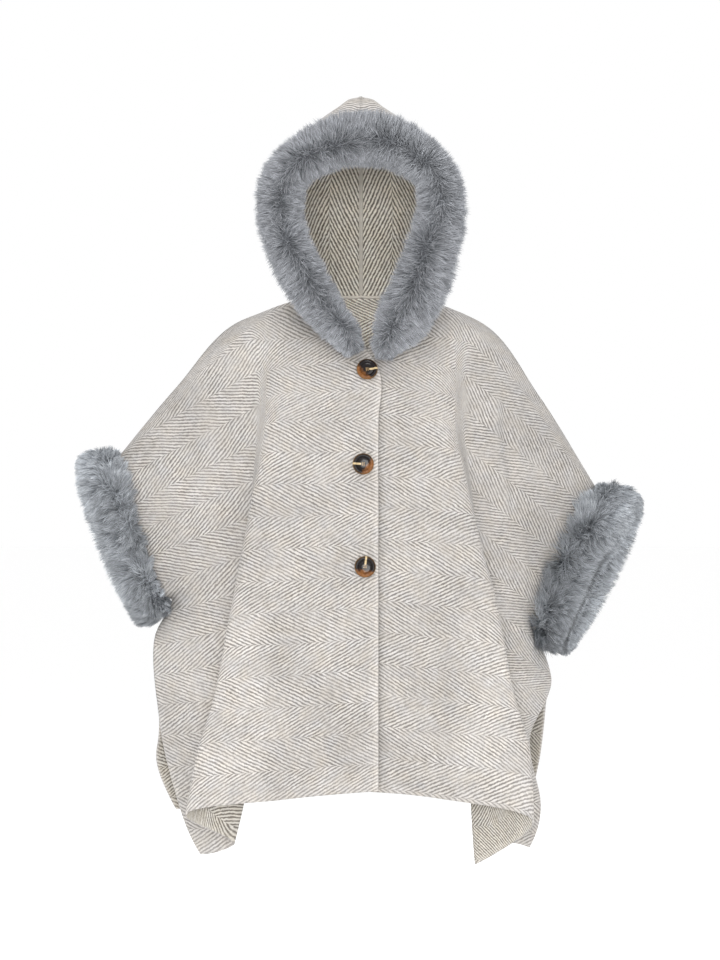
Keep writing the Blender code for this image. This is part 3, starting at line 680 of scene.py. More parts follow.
def crease_push(points, creases, random):
    """How far the creases lift or sink each point, and how far the nap is rubbed there."""
    push = np.zeros(points.shape[:-1])
    rubbed = np.zeros(points.shape[:-1])
    flat = points[..., [0, 2]]
    for crease in creases:
        start = np.array(crease.start, float)
        way = np.array(crease.end, float) - start
        length = np.linalg.norm(way)
        way = way / length
        side = np.array((-way[1], way[0]))
        along = (flat - start) @ way / length
        bend = random.uniform(-CREASE_BEND, CREASE_BEND)
        bend = bend * np.sin(along * math.pi * random.uniform(*CREASE_BENDS))
        across = (flat - start) @ side - bend
        ends = soft_share(along, *CREASE_ENDS) * soft_share(1 - along, *CREASE_ENDS)
        turns = along * random.uniform(*CREASE_UNEVEN_TURNS) + random.uniform(*ANY_START)
        shape = ends * (1 + CREASE_UNEVEN * np.sin(turns)) * hump(across, 0, crease.half_width)
        push += crease.depth * shape
        rubbed = np.maximum(rubbed, crease.rubbed * shape)
    return push, rubbed


def waviness(points, random):
    """Soft unevenness of thick cloth."""
    push = np.zeros(points.shape[:-1])
    for _ in range(UNEVEN_WAVES):
        wave = unit(random.normal(size=3)) * 2 * math.pi / random.uniform(*UNEVEN_LENGTHS)
        push += np.sin(points @ wave + random.uniform(*ANY_START))
    return UNEVEN * push / UNEVEN_SUM


def arm_weave(grid, arm):
    """Place on the flat cloth of each point of an arm, whose bands cross a line at x with given slopes."""
    bands = arm["bands"][::-1]
    heights = np.array([band.height for band in bands], float)
    slopes = np.radians([band.slope for band in bands])
    reach = np.abs(grid[..., 0]) - arm["x"]
    crossing = grid[..., 2].copy()
    for _ in range(CROSSING_ROUNDS):
        slope = np.interp(crossing, heights, slopes)
        crossing = grid[..., 2] + np.tan(slope) * reach
    close = np.linspace(heights[0], heights[-1], DRIFT_STEPS)
    rise = np.sin(np.interp(close, heights, slopes)) / arm["run"]
    drift = np.concatenate([[0], np.cumsum((rise[1:] + rise[:-1]) / 2 * np.diff(close))])
    drift = -np.interp(crossing, close, drift)
    down = np.interp(crossing, heights, [band.down for band in bands])
    return arm["x"] + drift + reach / (np.cos(slope) * arm["run"]), down


def unrolled(grid):
    """A front's grid with the cloth that turns back to the overarm seam laid upright."""
    last = row_of(1, ROWS_BETWEEN)
    steps = np.hypot(np.diff(grid[:last + 1, :, 1], axis=0), np.diff(grid[:last + 1, :, 2], axis=0))
    upright = grid.copy()
    upright[:last, :, 2] = grid[last, :, 2] + np.cumsum(steps[::-1], axis=0)[::-1]
    return upright


def front_weave(grid, side, arm):
    """Place on the flat cloth of each point of a front: across towards +X, and down."""
    chest, ridge, valley = (row_of(station, COLUMNS_BETWEEN) for station in (1, 2, 3))
    heights = [level.height for level in CHEST[::-1]]
    levels = [level.right if side < 0 else level.left for level in CHEST[::-1]]
    down = np.repeat(np.interp(grid[:, [chest], 2], heights, levels), grid.shape[1], axis=1)
    across = across_from(grid, down, side * grid[:, [0], 0])
    arm_across, arm_down = arm_weave(unrolled(grid), arm)
    meet = (ridge + valley) // 2
    arm_across = arm_across + across[FINE, meet] - arm_across[FINE, meet]
    fold_rows = (row_of(section, ROWS_BETWEEN) for section in FOLD_SECTIONS)
    folded = soft_share(np.arange(len(grid)), *fold_rows)[:, None]
    start = chest + (ridge - chest) * (FOLD_START + (1 - FOLD_START) * folded)
    share = soft_share(np.arange(grid.shape[1]), start, valley)
    across = across + (arm_across - across) * share
    down = down + (arm_down - down) * share
    return np.stack([side * across, down], axis=-1)


def across_from(grid, down, start):
    """Distance across the cloth along each row, where down already takes up part of each step."""
    steps = np.linalg.norm(np.diff(grid, axis=1), axis=-1)
    falls = np.diff(down, axis=1)
    run = np.sqrt(np.maximum(steps ** 2 - falls ** 2, (LEAST_RUN * steps) ** 2))
    return start + np.concatenate([np.zeros((len(grid), 1)), np.cumsum(run, axis=1)], axis=1)


def back_weave(grid):
    """Place on the flat cloth of each point of the back."""
    middle = grid.shape[1] // 2
    blade = FINE * BACK_COLUMNS_BETWEEN[2]
    section_rows = [row_of(section, BACK_ROWS_BETWEEN) for section in range(len(ARM_SLOPE_BACK))]
    slope = np.radians(np.interp(np.arange(len(grid)), section_rows, ARM_SLOPE_BACK))[:, None]
    halves = []
    for side, half in ((-1, grid[:, middle::-1]), (1, grid[:, middle:])):
        down = np.repeat(lengths_along(half[:, 0])[:, None], half.shape[1], axis=1)
        reach = np.abs(half[..., 0]) - np.abs(half[:, [blade], 0])
        band = half[:, [blade], 2] - np.tan(slope) * reach
        down += np.where(np.arange(half.shape[1]) > blade, np.cos(slope) * (band - half[..., 2]), 0)
        halves.append(np.stack([side * across_from(half, down, 0.0), down], axis=-1))
    return np.concatenate([halves[0][:, :0:-1], halves[1]], axis=1)


def hood_weave(grid):
    """Place on the flat cloth of each point of a hood half, where the bands run up along the seam."""
    up = lengths_along(grid[:, -1])[:, None]
    out = np.array([lengths_along(row[::-1])[::-1] for row in grid])
    up = HOOD_STEEPNESS * np.repeat(up, grid.shape[1], axis=1)
    return np.stack([up * HOOD_WEAVE, out * HOOD_WEAVE + BAND + BAND_START], axis=-1)


def add_mesh(name, points, faces, coordinates, material, layer="weave", normals=None, wear=None):
    """A named smooth object from points in millimetres, with one pair of coordinates to a point."""
    mesh = bpy.data.meshes.new(name)
    mesh.from_pydata((np.asarray(points) * MM).tolist(), [], faces)
    mesh.shade_smooth()
    corners = np.empty(len(mesh.loops), dtype=np.int32)
    mesh.loops.foreach_get("vertex_index", corners)
    uv = mesh.uv_layers.new(name=layer)
    uv.data.foreach_set("uv", np.asarray(coordinates, np.float32)[corners].ravel())
    # second layer, if given: rubbed nap, and painted light and shade
    if wear is not None:
        worn = mesh.uv_layers.new(name="wear")
        worn.data.foreach_set("uv", np.asarray(wear, np.float32)[corners].ravel())
    if normals is not None:
        mesh.normals_split_custom_set_from_vertices(np.asarray(normals, float).tolist())
    mesh.materials.append(material)
    made = bpy.data.objects.new(name, mesh)
    bpy.context.scene.collection.objects.link(made)
    return made


def shell(name, outer, inner, weave, wear, free, facing, materials):
    """One cloth piece with both faces and a rounded cut edge."""
    rows, columns = outer.shape[:2]
    size = rows * columns
    index = np.arange(size).reshape(rows, columns)
    outer_faces = np.stack([index[:-1, :-1], index[1:, :-1], index[1:, 1:], index[:-1, 1:]], axis=-1)
    outer_faces = outer_faces.reshape(-1, 4)
    rim = rim_of(rows, columns)
    inland = np.clip(rim, (1, 1), (rows - 2, columns - 2))
    edge = (outer[rim[:, 0], rim[:, 1]] + inner[rim[:, 0], rim[:, 1]]) / 2
    away = unit(outer[rim[:, 0], rim[:, 1]] - outer[inland[:, 0], inland[:, 1]])
    bulge = np.where(free[rim[:, 0], rim[:, 1]], EDGE_BULGE * CLOTH, 0.0)
    middle = edge + bulge[:, None] * away
    rim_outer = index[rim[:, 0], rim[:, 1]]
    rim_middle = 2 * size + np.arange(len(rim))
    after = np.roll(np.arange(len(rim)), -1)
    first = np.stack([rim_outer, rim_outer[after], rim_middle[after], rim_middle], axis=-1)
    second = np.stack([rim_middle, rim_middle[after], size + rim_outer[after], size + rim_outer], axis=-1)
    faces = np.concatenate([outer_faces, size + outer_faces[:, ::-1], first, second])
    if facing > 0:
        faces = faces[:, ::-1]
    points = np.concatenate([outer.reshape(-1, 3), inner.reshape(-1, 3), middle])
    flat = weave.reshape(-1, 2)
    coordinates = np.concatenate([flat, flat, flat[rim_outer]]) * MM
    # rubbed nap and painted light of both faces; the rim takes the outer face's
    outside, inside = (side.reshape(-1, 2) for side in wear)
    worn = np.concatenate([outside, inside, outside[rim_outer]])
    made = add_mesh(name, points, faces.tolist(), coordinates, materials[0], wear=worn)
    made.data.materials.append(materials[1])
    reverse = np.zeros(len(faces), dtype=np.int32)
    reverse[len(outer_faces):2 * len(outer_faces)] = 1
    made.data.polygons.foreach_set("material_index", reverse)
    return made


class Value:
    """Output of a material's node, which takes part in sums like a number."""

    def __init__(self, make, socket):
        self.make = make
        self.socket = socket

    def __add__(self, other):
        return self.make.maths("ADD", self, other)

    def __sub__(self, other):
        return self.make.maths("SUBTRACT", self, other)

    def __rsub__(self, other):
        return self.make.maths("SUBTRACT", other, self)

    def __mul__(self, other):
        return self.make.maths("MULTIPLY", self, other)

    def __truediv__(self, other):
        return self.make.maths("DIVIDE", self, other)

    __radd__ = __add__
    __rmul__ = __mul__


class Nodes:
    """Short hand for building a material."""

    def __init__(self, name):
        self.material = bpy.data.materials.new(name)
        self.material.use_nodes = True
        self.tree = self.material.node_tree
        self.shader = self.tree.nodes["Principled BSDF"]

    def set(self, socket, value):
        """Puts a node's output, a colour or a number into a socket."""
        if isinstance(value, Value):
            self.tree.links.new(value.socket, socket)
        else:
            socket.default_value = (*value, 1) if isinstance(value, tuple) else value

    def surface(self, **values):
        """Sets the shader's inputs, with underscores for the spaces in their names."""
        for name, value in values.items():
            self.set(self.shader.inputs[name.replace("_", " ")], value)

    def add(self, kind, inputs, output=0, **settings):
        """A new node's output, from its inputs by number or name and its settings."""
        node = self.tree.nodes.new(kind)
        for name, value in settings.items():
            setattr(node, name, value)
        for key, value in inputs.items():
            self.set(node.inputs[key], value)
        return Value(self, node.outputs[output])

    def maths(self, operation, first, second=0.0):
        """One sum of one or two values."""
        return self.add("ShaderNodeMath", {0: first, 1: second}, operation=operation)

    def absolute(self, value):
        """A value without its sign."""
        return self.maths("ABSOLUTE", value)

    def mix(self, share, first, second, blend="MIX"):
        """Two colours mixed by a share."""
        inputs = {"Factor": share, "A": first, "B": second}
        return self.add("ShaderNodeMix", inputs, "Result", data_type="RGBA", blend_type=blend)

    def tinted(self, colour, red, green, blue):
        """A colour with each of its parts scaled."""
        scale = self.add("ShaderNodeCombineColor", {0: red, 1: green, 2: blue})
        return self.mix(1.0, colour, scale, "MULTIPLY")

    def ramp(self, value, *stops):
        """A colour ramp through stops of position and colour."""
        made = self.add("ShaderNodeValToRGB", {0: value}, "Color")
        elements = made.socket.node.color_ramp.elements
        while len(elements) < len(stops):
            elements.new(1.0)
        for element, (position, colour) in zip(elements, stops):
            element.position = position
            element.color = (*colour, 1)
        return made

    def smooth(self, value, low, high, low_out=0.0, high_out=1.0):
        """A value taken softly from one range to another."""
        inputs = {"Value": value, "From Min": low, "From Max": high, "To Min": low_out, "To Max": high_out}
        return self.add("ShaderNodeMapRange", inputs, "Result", interpolation_type="SMOOTHSTEP")

    def coordinates(self, layer):
        """Both coordinates of a layer, and the layer itself."""
        vector = self.add("ShaderNodeUVMap", {}, "UV", uv_map=layer)
        across, down = (self.add("ShaderNodeSeparateXYZ", {0: vector}, output) for output in "XY")
        return across, down, vector

    def noise(self, vector, scale, detail, roughness):
        """Noise from 0 to 1."""
        inputs = {"Vector": vector, "Scale": scale, "Detail": detail, "Roughness": roughness}
        return self.add("ShaderNodeTexNoise", inputs, "Fac")

    def grain(self, vector, grain):
        """Noise turned into the values between which a grain runs."""
        noise = self.noise(vector, grain.scale, grain.detail, grain.roughness)
        if grain.levels:
            return self.smooth(noise, *grain.levels, grain.low, grain.high)
        return grain.low + (grain.high - grain.low) * noise

    def bump(self, height, distance, strength):
        """Relief from a height."""
        inputs = {"Height": height, "Distance": distance, "Strength": strength}
        self.surface(Normal=self.add("ShaderNodeBump", inputs, "Normal"))


def wool_material(name, cream, taupe, felted):
    """Herringbone: stripes along slanted lines that turn over from band to band, felted over."""
    make = Nodes(name)
    across, down, flat = make.coordinates("weave")
    rubbed, shade, _ = make.coordinates("wear")
    down = down + make.grain(flat, WOOL.band_wander) + (2 * BAND - BAND_START) * MM
    turned = make.maths("PINGPONG", down, BAND * MM)
    band = make.maths("FLOOR", down / (BAND * MM))
    step = make.maths("MODULO", band, 2.0) / 2
    phase = (SLANT * across + turned) / (STRIPE * MM) + step
    phase = phase + make.grain(flat, WOOL.stripe_wander) + make.grain(flat, WOOL.stripe_fray)
    wave = (1 + make.maths("SINE", 2 * math.pi * phase)) / 2
    threads = make.add("ShaderNodeCombineXYZ", {0: WOOL.threads * across, 1: phase, 2: band})
    fibres = make.noise(flat, *WOOL.fibres)
    mixed = wave + WOOL.fibres_in_stripes * (fibres - 0.5) + make.grain(threads, WOOL.dashes)
    share = make.smooth(mixed, *WOOL.stripe_levels)
    cover = make.maths("MAXIMUM", felted * make.grain(flat, WOOL.felting), WOOL.rubbed * rubbed)
    share = share * (1 - cover) + (WOOL.felt_least + WOOL.felt_fibres * fibres) * cover
    tone = make.grain(flat, WOOL.specks) * make.grain(flat, WOOL.patches) * make.grain(flat, WOOL.flecks)
    # painted light and shade: darker where the second coordinate is above 0, paler below
    tone = tone * (1 - WOOL.shade * shade)
    cool = make.grain(flat, WOOL.cool)
    colour = make.tinted(make.mix(share, taupe, cream), tone, tone * (1 + WOOL.cool_green * cool),
                         tone * (1 + WOOL.cool_blue * cool))
    make.surface(Base_Color=colour, Roughness=0.92, Specular_IOR_Level=0.15)
    make.surface(Sheen_Weight=0.15, Sheen_Roughness=0.5)
    make.bump(share + WOOL.fibre_height * fibres, distance=0.0006, strength=0.55)
    return make.material


def fur_material(name, root, middle, tip):
    """Fibres that lighten from root to tip, darkest at the root as painted shade deep in the pile; the first
    coordinate is each fibre's tone, random and with painted light and shade.
    """
    make = Nodes(name)
    tone, share, _ = make.coordinates("fibre")
    colour = make.tinted(make.ramp(share, (0.0, root), (0.45, middle), (1.0, tip)), tone, tone, tone)
    make.surface(Base_Color=colour, Roughness=0.7, Specular_IOR_Level=0.2)
    return make.material


def felt_material(dark, pale):
    """Cream wool with its weave felted over."""
    make = Nodes("felt")
    _, _, flat = make.coordinates("weave")
    fibres = make.noise(flat, scale=900.0, detail=3.0, roughness=0.7)
    make.surface(Base_Color=make.mix(fibres, dark, pale), Roughness=0.95)
    make.bump(fibres, distance=0.0005, strength=0.6)
    return make.material


def tape_material(dark, pale):
    """Plain woven tape."""
    make = Nodes("tape")
    along, _, _ = make.coordinates("weave")
    ribs = make.maths("SINE", 2 * math.pi / TAPE_RIB * along)
    make.surface(Base_Color=make.mix(0.5 + ribs / 4, dark, pale), Roughness=0.9)
    make.bump(ribs, distance=0.0002, strength=0.5)
    return make.material


def shell_button_material(name, amber_turn):
    """Polished tortoiseshell: near black, amber on one side, a pale streak from the middle to the rim."""
    make = Nodes(name)
    along, side, face = make.coordinates("face")
    mottle = make.noise(face, *SHELL.mottle)
    towards = math.cos(amber_turn) * along + math.sin(amber_turn) * side
    amber = make.smooth(SHELL.mottle_share * mottle + towards, *SHELL.amber)
    colour = make.mix(amber, SHELL.dark, make.ramp(mottle, *SHELL.warm))
    distance = make.maths("SQRT", along * along + side * side)
    colour = make.mix(make.smooth(distance, *SHELL.rim_from, 0.0, SHELL.rim_share), colour, SHELL.rim)
    beside = make.absolute(side)
    streak = make.smooth(beside, *SHELL.streak_side, 1.0, 0.0) * make.smooth(along, *SHELL.streak_from)
    colour = make.mix(streak, colour, SHELL.streak)
    off_thread = make.absolute(make.absolute(along) - SHELL.thread_place)
    thread = make.smooth(off_thread, *SHELL.thread_side, SHELL.thread_share, 0.0)
    thread = thread * make.smooth(beside, *SHELL.thread_end, 1.0, 0.0)
    make.surface(Base_Color=make.mix(thread, colour, SHELL.thread), Roughness=0.14, Specular_IOR_Level=0.16)
    return make.material


def plain_material(name, colour, roughness):
    """One colour all over."""
    make = Nodes(name)
    make.surface(Base_Color=colour, Roughness=roughness)
    return make.material


def tuft_of(places, size, random):
    """Number of the tuft that each fibre belongs to, from its place on the flattened fur."""
    jitter = random.uniform(0, 1, (TUFT_CELLS, TUFT_CELLS, 2))
    cell = np.floor(places / size).astype(int)
    best = np.full(len(places), np.inf)
    nearest = np.zeros_like(cell)
    for step in itertools.product((-1, 0, 1), repeat=2):
        near = cell + step
        seed = (near + jitter[near[:, 0] % TUFT_CELLS, near[:, 1] % TUFT_CELLS]) * size
        distance = np.sum((places - seed) ** 2, axis=1)
        closer = distance < best
        best[closer] = distance[closer]
        nearest[closer] = near[closer]
    return np.unique(nearest, axis=0, return_inverse=True)[1].ravel()


def fibre_lines(fibres, tuft, tuft_pull, random):
    """Points along each fibre and the way at each step, where tufts draw their fibres together."""
    count = len(fibres.roots)
    lift = np.radians(fibres.rises)[:, None]
    lean = random.normal(0, TUFT_LEAN, (tuft.max() + 1, 3))
    lays = unit(fibres.lays + lean[tuft])
    points = [fibres.roots]
    headings = []
    for step in range(FIBRE_STEPS):
        share = (step + 0.5) / FIBRE_STEPS
        left = lift * (1 - LIE_OVER * share)
        heading = np.cos(left) * lays + np.sin(left) * fibres.normals
        heading = unit(heading + random.normal(0, STRAY_ROOT + STRAY_TIP * share, (count, 3)))
        headings.append(heading)
        points.append(points[-1] + heading * (fibres.lengths / FIBRE_STEPS)[:, None])
    points = np.stack(points, axis=1)
    sums = np.zeros((tuft.max() + 1, FIBRE_STEPS + 1, 3))
    np.add.at(sums, tuft, points)
    means = sums / np.bincount(tuft)[:, None, None]
    pulls = tuft_pull * (np.arange(FIBRE_STEPS + 1) / FIBRE_STEPS) ** TUFT_POWER
    drawn = fibres.tufting * random.uniform(*TUFT_DRAW, count)
    points += (means[tuft] - points) * pulls[None, :, None] * drawn[:, None, None]
    return points, headings


def fibre_faces(count):
    """Faces of so many fibres: a ribbon's quads, and a triangle at its tip."""
    each = 2 * FIBRE_STEPS + 1
    starts = np.arange(count)[:, None] * each
    faces = []
    for step in range(FIBRE_STEPS - 1):
        faces += (starts + (2 * step, 2 * step + 1, 2 * step + 3, 2 * step + 2)).tolist()
    return faces + (starts + (each - 3, each - 2, each - 1)).tolist()


def fibre_mesh(name, fibres, pile, random, material):
    """Fur fibres as thin tapered ribbons."""
    count = len(fibres.roots)
    tuft = tuft_of(fibres.places, pile.tuft, random)
    points, headings = fibre_lines(fibres, tuft, pile.tuft_pull, random)
    tuft_tone = random.uniform(*TUFT_TONES, tuft.max() + 1)
    tones = fibres.tones * tuft_tone[tuft] * random.uniform(*FIBRE_TONES, count)
    widths = pile.width * random.uniform(*FIBRE_WIDTHS, count)
    facing = fibres.normals[:, [1]]
    toward = np.where(facing < RIM_TURN, 1.0, -1.0) * FORWARDS
    lit = unit(fibres.normals + RIM_GLOW * (1 - np.abs(facing)) * toward)
    made = []
    normals = []
    coordinates = []
    for step, taper in enumerate(FIBRE_TAPER):
        side = unit(np.cross(headings[step], lit) + random.normal(0, FIBRE_TWIST, (count, 3)))
        half = (widths * taper / 2)[:, None] * side
        made += [points[:, step] - half, points[:, step] + half]
        normals += [unit(lit - FIBRE_ROUND * side), unit(lit + FIBRE_ROUND * side)]
        shares = fibres.starts + (1 - fibres.starts) * step / FIBRE_STEPS
        coordinates += [np.stack([tones, shares], axis=-1)] * 2
    made.append(points[:, -1])
    normals.append(unit(lit + TIP_ROUND * headings[-1]))
    coordinates.append(np.stack([tones, np.ones(count)], axis=-1))
    made = np.stack(made, axis=1).reshape(-1, 3)
    normals = np.stack(normals, axis=1).reshape(-1, 3)
    coordinates = np.stack(coordinates, axis=1).reshape(-1, 2)
    return add_mesh(name, made, fibre_faces(count), coordinates, material, "fibre", normals)


def sampled(places, known, values):
    """Values at places along a line where they are known at some distances."""
    return np.stack([np.interp(places, known, column) for column in values.T], axis=-1)


def roll_faces(rings, sides):
    """Faces of a tube that is closed round its rings but open at its ends."""
    index = np.arange(rings * sides).reshape(rings, sides)
    after = np.roll(index, -1, axis=1)
    return np.stack([index[:-1], after[:-1], after[1:], index[1:]], axis=-1).reshape(-1, 4)


def bar_faces(rings, sides):
    """Faces of a tube that is filled at both ends."""
    ends = [list(range(sides))[::-1], [(rings - 1) * sides + s for s in range(sides)]]
    return roll_faces(rings, sides).tolist() + ends


def core_mesh(name, points, faces, material):
    """Backing under fur."""
    return add_mesh(name, points, faces.tolist(), np.zeros((len(points), 2)), material, "fibre")


def hood_roll():
    """Middle line with half widths, directions along and across, and lengths of the hood's fur roll."""
    curve = smooth_curve(HOOD_FUR, (HOOD_PILE.ring_steps,) * (len(HOOD_FUR) - 1))
    along = unit(np.gradient(curve[:, :3], axis=0))
    across = unit(np.cross(FORWARDS, along))
    return curve, along, across, lengths_along(curve[:, :3])


def hood_core(material):
    """Backing under the hood's fur, rounded at its ends."""
    curve, _, across, travelled = hood_roll()
    turns = np.linspace(0, 2 * math.pi, HOOD_PILE.core_sides, endpoint=False)[None, :, None]
    from_end = np.minimum(travelled, travelled[-1] - travelled) / HOOD_PILE.core_end
    size = FUR_ROOT * HOOD_PILE.core_size * np.sqrt(np.clip(from_end, HOOD_PILE.core_least, 1)) * curve[:, 3]
    out = np.cos(turns) * across[:, None, :] + np.sin(turns) * FUR_FLATNESS * FORWARDS
    points = curve[:, None, :3] + size[:, None, None] * out
    return core_mesh("hood_fur_core", points.reshape(-1, 3), roll_faces(*points.shape[:2]), material)


def hood_fibres(count, random):
    """Fibres of the hood's fur: they part along a line near the face and lie away from it."""
    pile = HOOD_PILE
    curve, along, across, travelled = hood_roll()
    weight = lengths_along(np.stack([travelled, np.cumsum(curve[:, 3]) * pile.width_weight], axis=-1))
    place = np.interp(random.uniform(0, weight[-1], count), weight, travelled)
    centre = sampled(place, travelled, curve)
    half = centre[:, 3]
    forward = unit(sampled(place, travelled, along))
    sideways = unit(sampled(place, travelled, across))
    turn = random.uniform(*pile.turns, count)
    parting = pile.parting + ripple(place, pile.parting_waves) + random.normal(0, pile.parting_spread, count)
    cos = np.cos(np.radians(turn))[:, None]
    sin = np.sin(np.radians(turn))[:, None]
    roots = centre[:, :3] + FUR_ROOT * half[:, None] * (cos * sideways + sin * FUR_FLATNESS * FORWARDS)
    normals = unit(cos * FUR_FLATNESS * sideways + sin * FORWARDS)
    round_way = unit(cos * FUR_FLATNESS * FORWARDS - sin * sideways)
    from_parting = np.tanh((turn - parting) / pile.parting_width)
    sway = ripple(place, pile.sway_waves) + random.normal(0, pile.sway_spread, count)
    ends = np.exp((place - travelled[-1]) / pile.end_reach) - np.exp(-place / pile.end_reach)
    sway = sway + pile.end_pull * ends
    lays = unit(from_parting[:, None] * round_way + sway[:, None] * forward + pile.hang)
    rim = hump(turn, 0, pile.rim)
    lengths = np.clip(pile.length_share * half, *pile.length_limits)
    lengths = lengths * random.uniform(*pile.length_spread, count)
    corner = hump(np.abs(centre[:, 0]), pile.corner_x, pile.corner_width)
    corner = corner * soft_share(centre[:, 2], *pile.corner_heights)
    lengths = lengths * (1 - pile.rim_shorter * rim) * (1 - pile.corner_shorter * corner * rim)
    long, short = pile.patch_lengths
    patchy = (1 + np.sin(place / long + pile.patch_start) * np.sin(place / short)) / 2
    tones = 1 - (pile.parting_shade + pile.patch_shade * patchy) * hump(turn, parting, pile.shade_width)
    rises = random.uniform(*pile.rises, count) * (1 - pile.rim_lower * rim)
    places = np.stack([place, np.radians(turn) * half * pile.place_share], axis=-1)
    tufting = 1 - pile.rim_looser * rim
    return Fibres(roots, normals, lays, places, lengths, tones, rises, np.zeros(count), tufting)


def cuff_profile():
    """Closed outline of a cuff's fur roll in close steps: along the sleeve and out."""
    return smooth_curve([*CUFF_PROFILE, CUFF_PROFILE[0]], (CUFF_PILE.outline_steps,) * len(CUFF_PROFILE))


def cuff_ring(cuff, turns):
    """Loop points, outward and loop directions at turns round an arm opening, and the sleeve's axis."""
    centre, half_height, front, axis = cuff_frame(cuff)
    height = np.linalg.norm(half_height)
    up = half_height / height
    cos = np.cos(turns)[:, None]
    sin = np.sin(turns)[:, None]
    loop = centre + cos * half_height + sin * cuff.half_depth * front
    out = unit(cos * cuff.half_depth * up + sin * height * front)
    round_way = unit(cos * cuff.half_depth * front - sin * half_height)
    return loop, out, round_way, axis


def top_to_bottom(turns, top, bottom):
    """A value at turns round an arm opening, from those at its top and bottom."""
    return bottom + (top - bottom) * (1 + np.cos(turns)) / 2


def cuff_places(cuff, turns, spots):
    """Distances along the sleeve and out of spots on the fur's outline, sized for turns round the opening."""
    sized = []
    for axis, ends in enumerate((cuff.reach, cuff.rise)):
        spot = spots[..., axis]
        sized.append(np.where(spot > 1, 1 + (spot - 1) * top_to_bottom(turns, *ends), spot)[..., None])
    return sized


def cuff_core(name, cuff, facing, material):
    """Backing under a cuff's fur, and the strip that joins it to the cloth."""
    turns = np.linspace(0, 2 * math.pi, CUFF_PILE.core_turns)
    loop, out, _, axis = cuff_ring(cuff, turns)
    points = []
    faces = []
    for outline in (CUFF_CORE + FUR_ROOT * (cuff_profile()[:-1] - CUFF_CORE), np.array(CUFF_JOIN)):
        along, away = cuff_places(cuff, turns[:, None], outline[None])
        rings = loop[:, None] + along * axis + away * out[:, None]
        faces.append(roll_faces(*rings.shape[:2]) + sum(len(part) for part in points))
        points.append(rings.reshape(-1, 3))
    faces = np.concatenate(faces)
    return core_mesh(name, np.concatenate(points), faces if facing > 0 else faces[:, ::-1], material)


def cloth_ways(front, cuff, turns):
    """Way along the cloth from the cuff at turns round it, from a front's grid; along the sleeve behind."""
    centre, half_height, ahead, axis = cuff_frame(cuff)
    rows = row_of(CUFF_SECTION, ROWS_BETWEEN) + 1
    away = front[:rows, -1] - centre
    known = np.arctan2(away @ ahead / cuff.half_depth, away @ half_height / (half_height @ half_height))
    ways = unit(front[:rows, -1 - CUFF_PILE.way_columns] - front[:rows, -1])
    ways = sampled(turns, np.unwrap(known), ways)
    behind = soft_share(turns, math.pi, math.pi + CUFF_PILE.way_behind)[:, None]
    return unit(ways + behind * (-axis - ways))


def cuff_spots(total, count, random):
    """Places round a cuff's outline where fibres grow: outside, inside the opening and beside the cloth."""
    pile = CUFF_PILE
    place = random.uniform(0, total * pile.outside, count)
    kind = random.uniform(0, 1, count)
    inside = kind < pile.inside_share
    place[inside] = random.uniform(total * pile.outside, total, inside.sum())
    beside = kind > 1 - pile.beside_share
    place[beside] = random.uniform(0, pile.beside, beside.sum())
    return place


def cuff_zones(look, turns, place):
    """Shares of each fibre in the zones of a cuff."""
    pile = CUFF_PILE
    cos = np.cos(turns)
    sin = np.sin(turns)
    trimmed = soft_share(sin, *pile.trim_front) * soft_share(cos, *pile.trim_below)
    return SimpleNamespace(
        near_cloth=soft_share(place, *pile.cloth_side),
        to_opening=soft_share(place, *pile.opening_side),
        lower=soft_share(-cos, *pile.upper),
        upper=soft_share(cos, *pile.upper),
        crest=soft_share(cos, *pile.crest),
        behind=soft_share(sin, *pile.behind),
        lobe=soft_share(sin, *pile.lobe_front),
        trimmed=look.trim * trimmed,
        bulge=look.trim * hump(cos, pile.bulge, pile.bulge_width) * (sin > 0),
    )


def cuff_lengths(look, turns, zones, random):
    """Lengths of a cuff's fibres, which lie over the cloth on one side and are cut at the opening."""
    pile = CUFF_PILE
    lengths = random.uniform(*pile.lengths, len(turns))
    lengths = lengths * (1 - pile.lower_shorter * zones.lower - pile.upper_shorter * zones.upper)
    cut = pile.opening_shorter + pile.upper_opening_shorter * zones.upper
    lengths = lengths * (1 - cut * zones.to_opening)
    lengths = lengths * (1 - (zones.trimmed + pile.crest_shorter * zones.crest) * zones.to_opening)
    lengths = lengths * (1 + pile.bulge_longer * zones.bulge * zones.to_opening)
    over = top_to_bottom(turns, *look.over) * (1 + ripple(turns, pile.over_waves))
    over = over * (1 - pile.over_crest_shorter * zones.crest) * (1 - pile.over_behind_shorter * zones.behind)
    over = (pile.over_least + over) * random.uniform(*pile.over_spread, len(turns))
    return lengths + zones.near_cloth * (over - lengths)


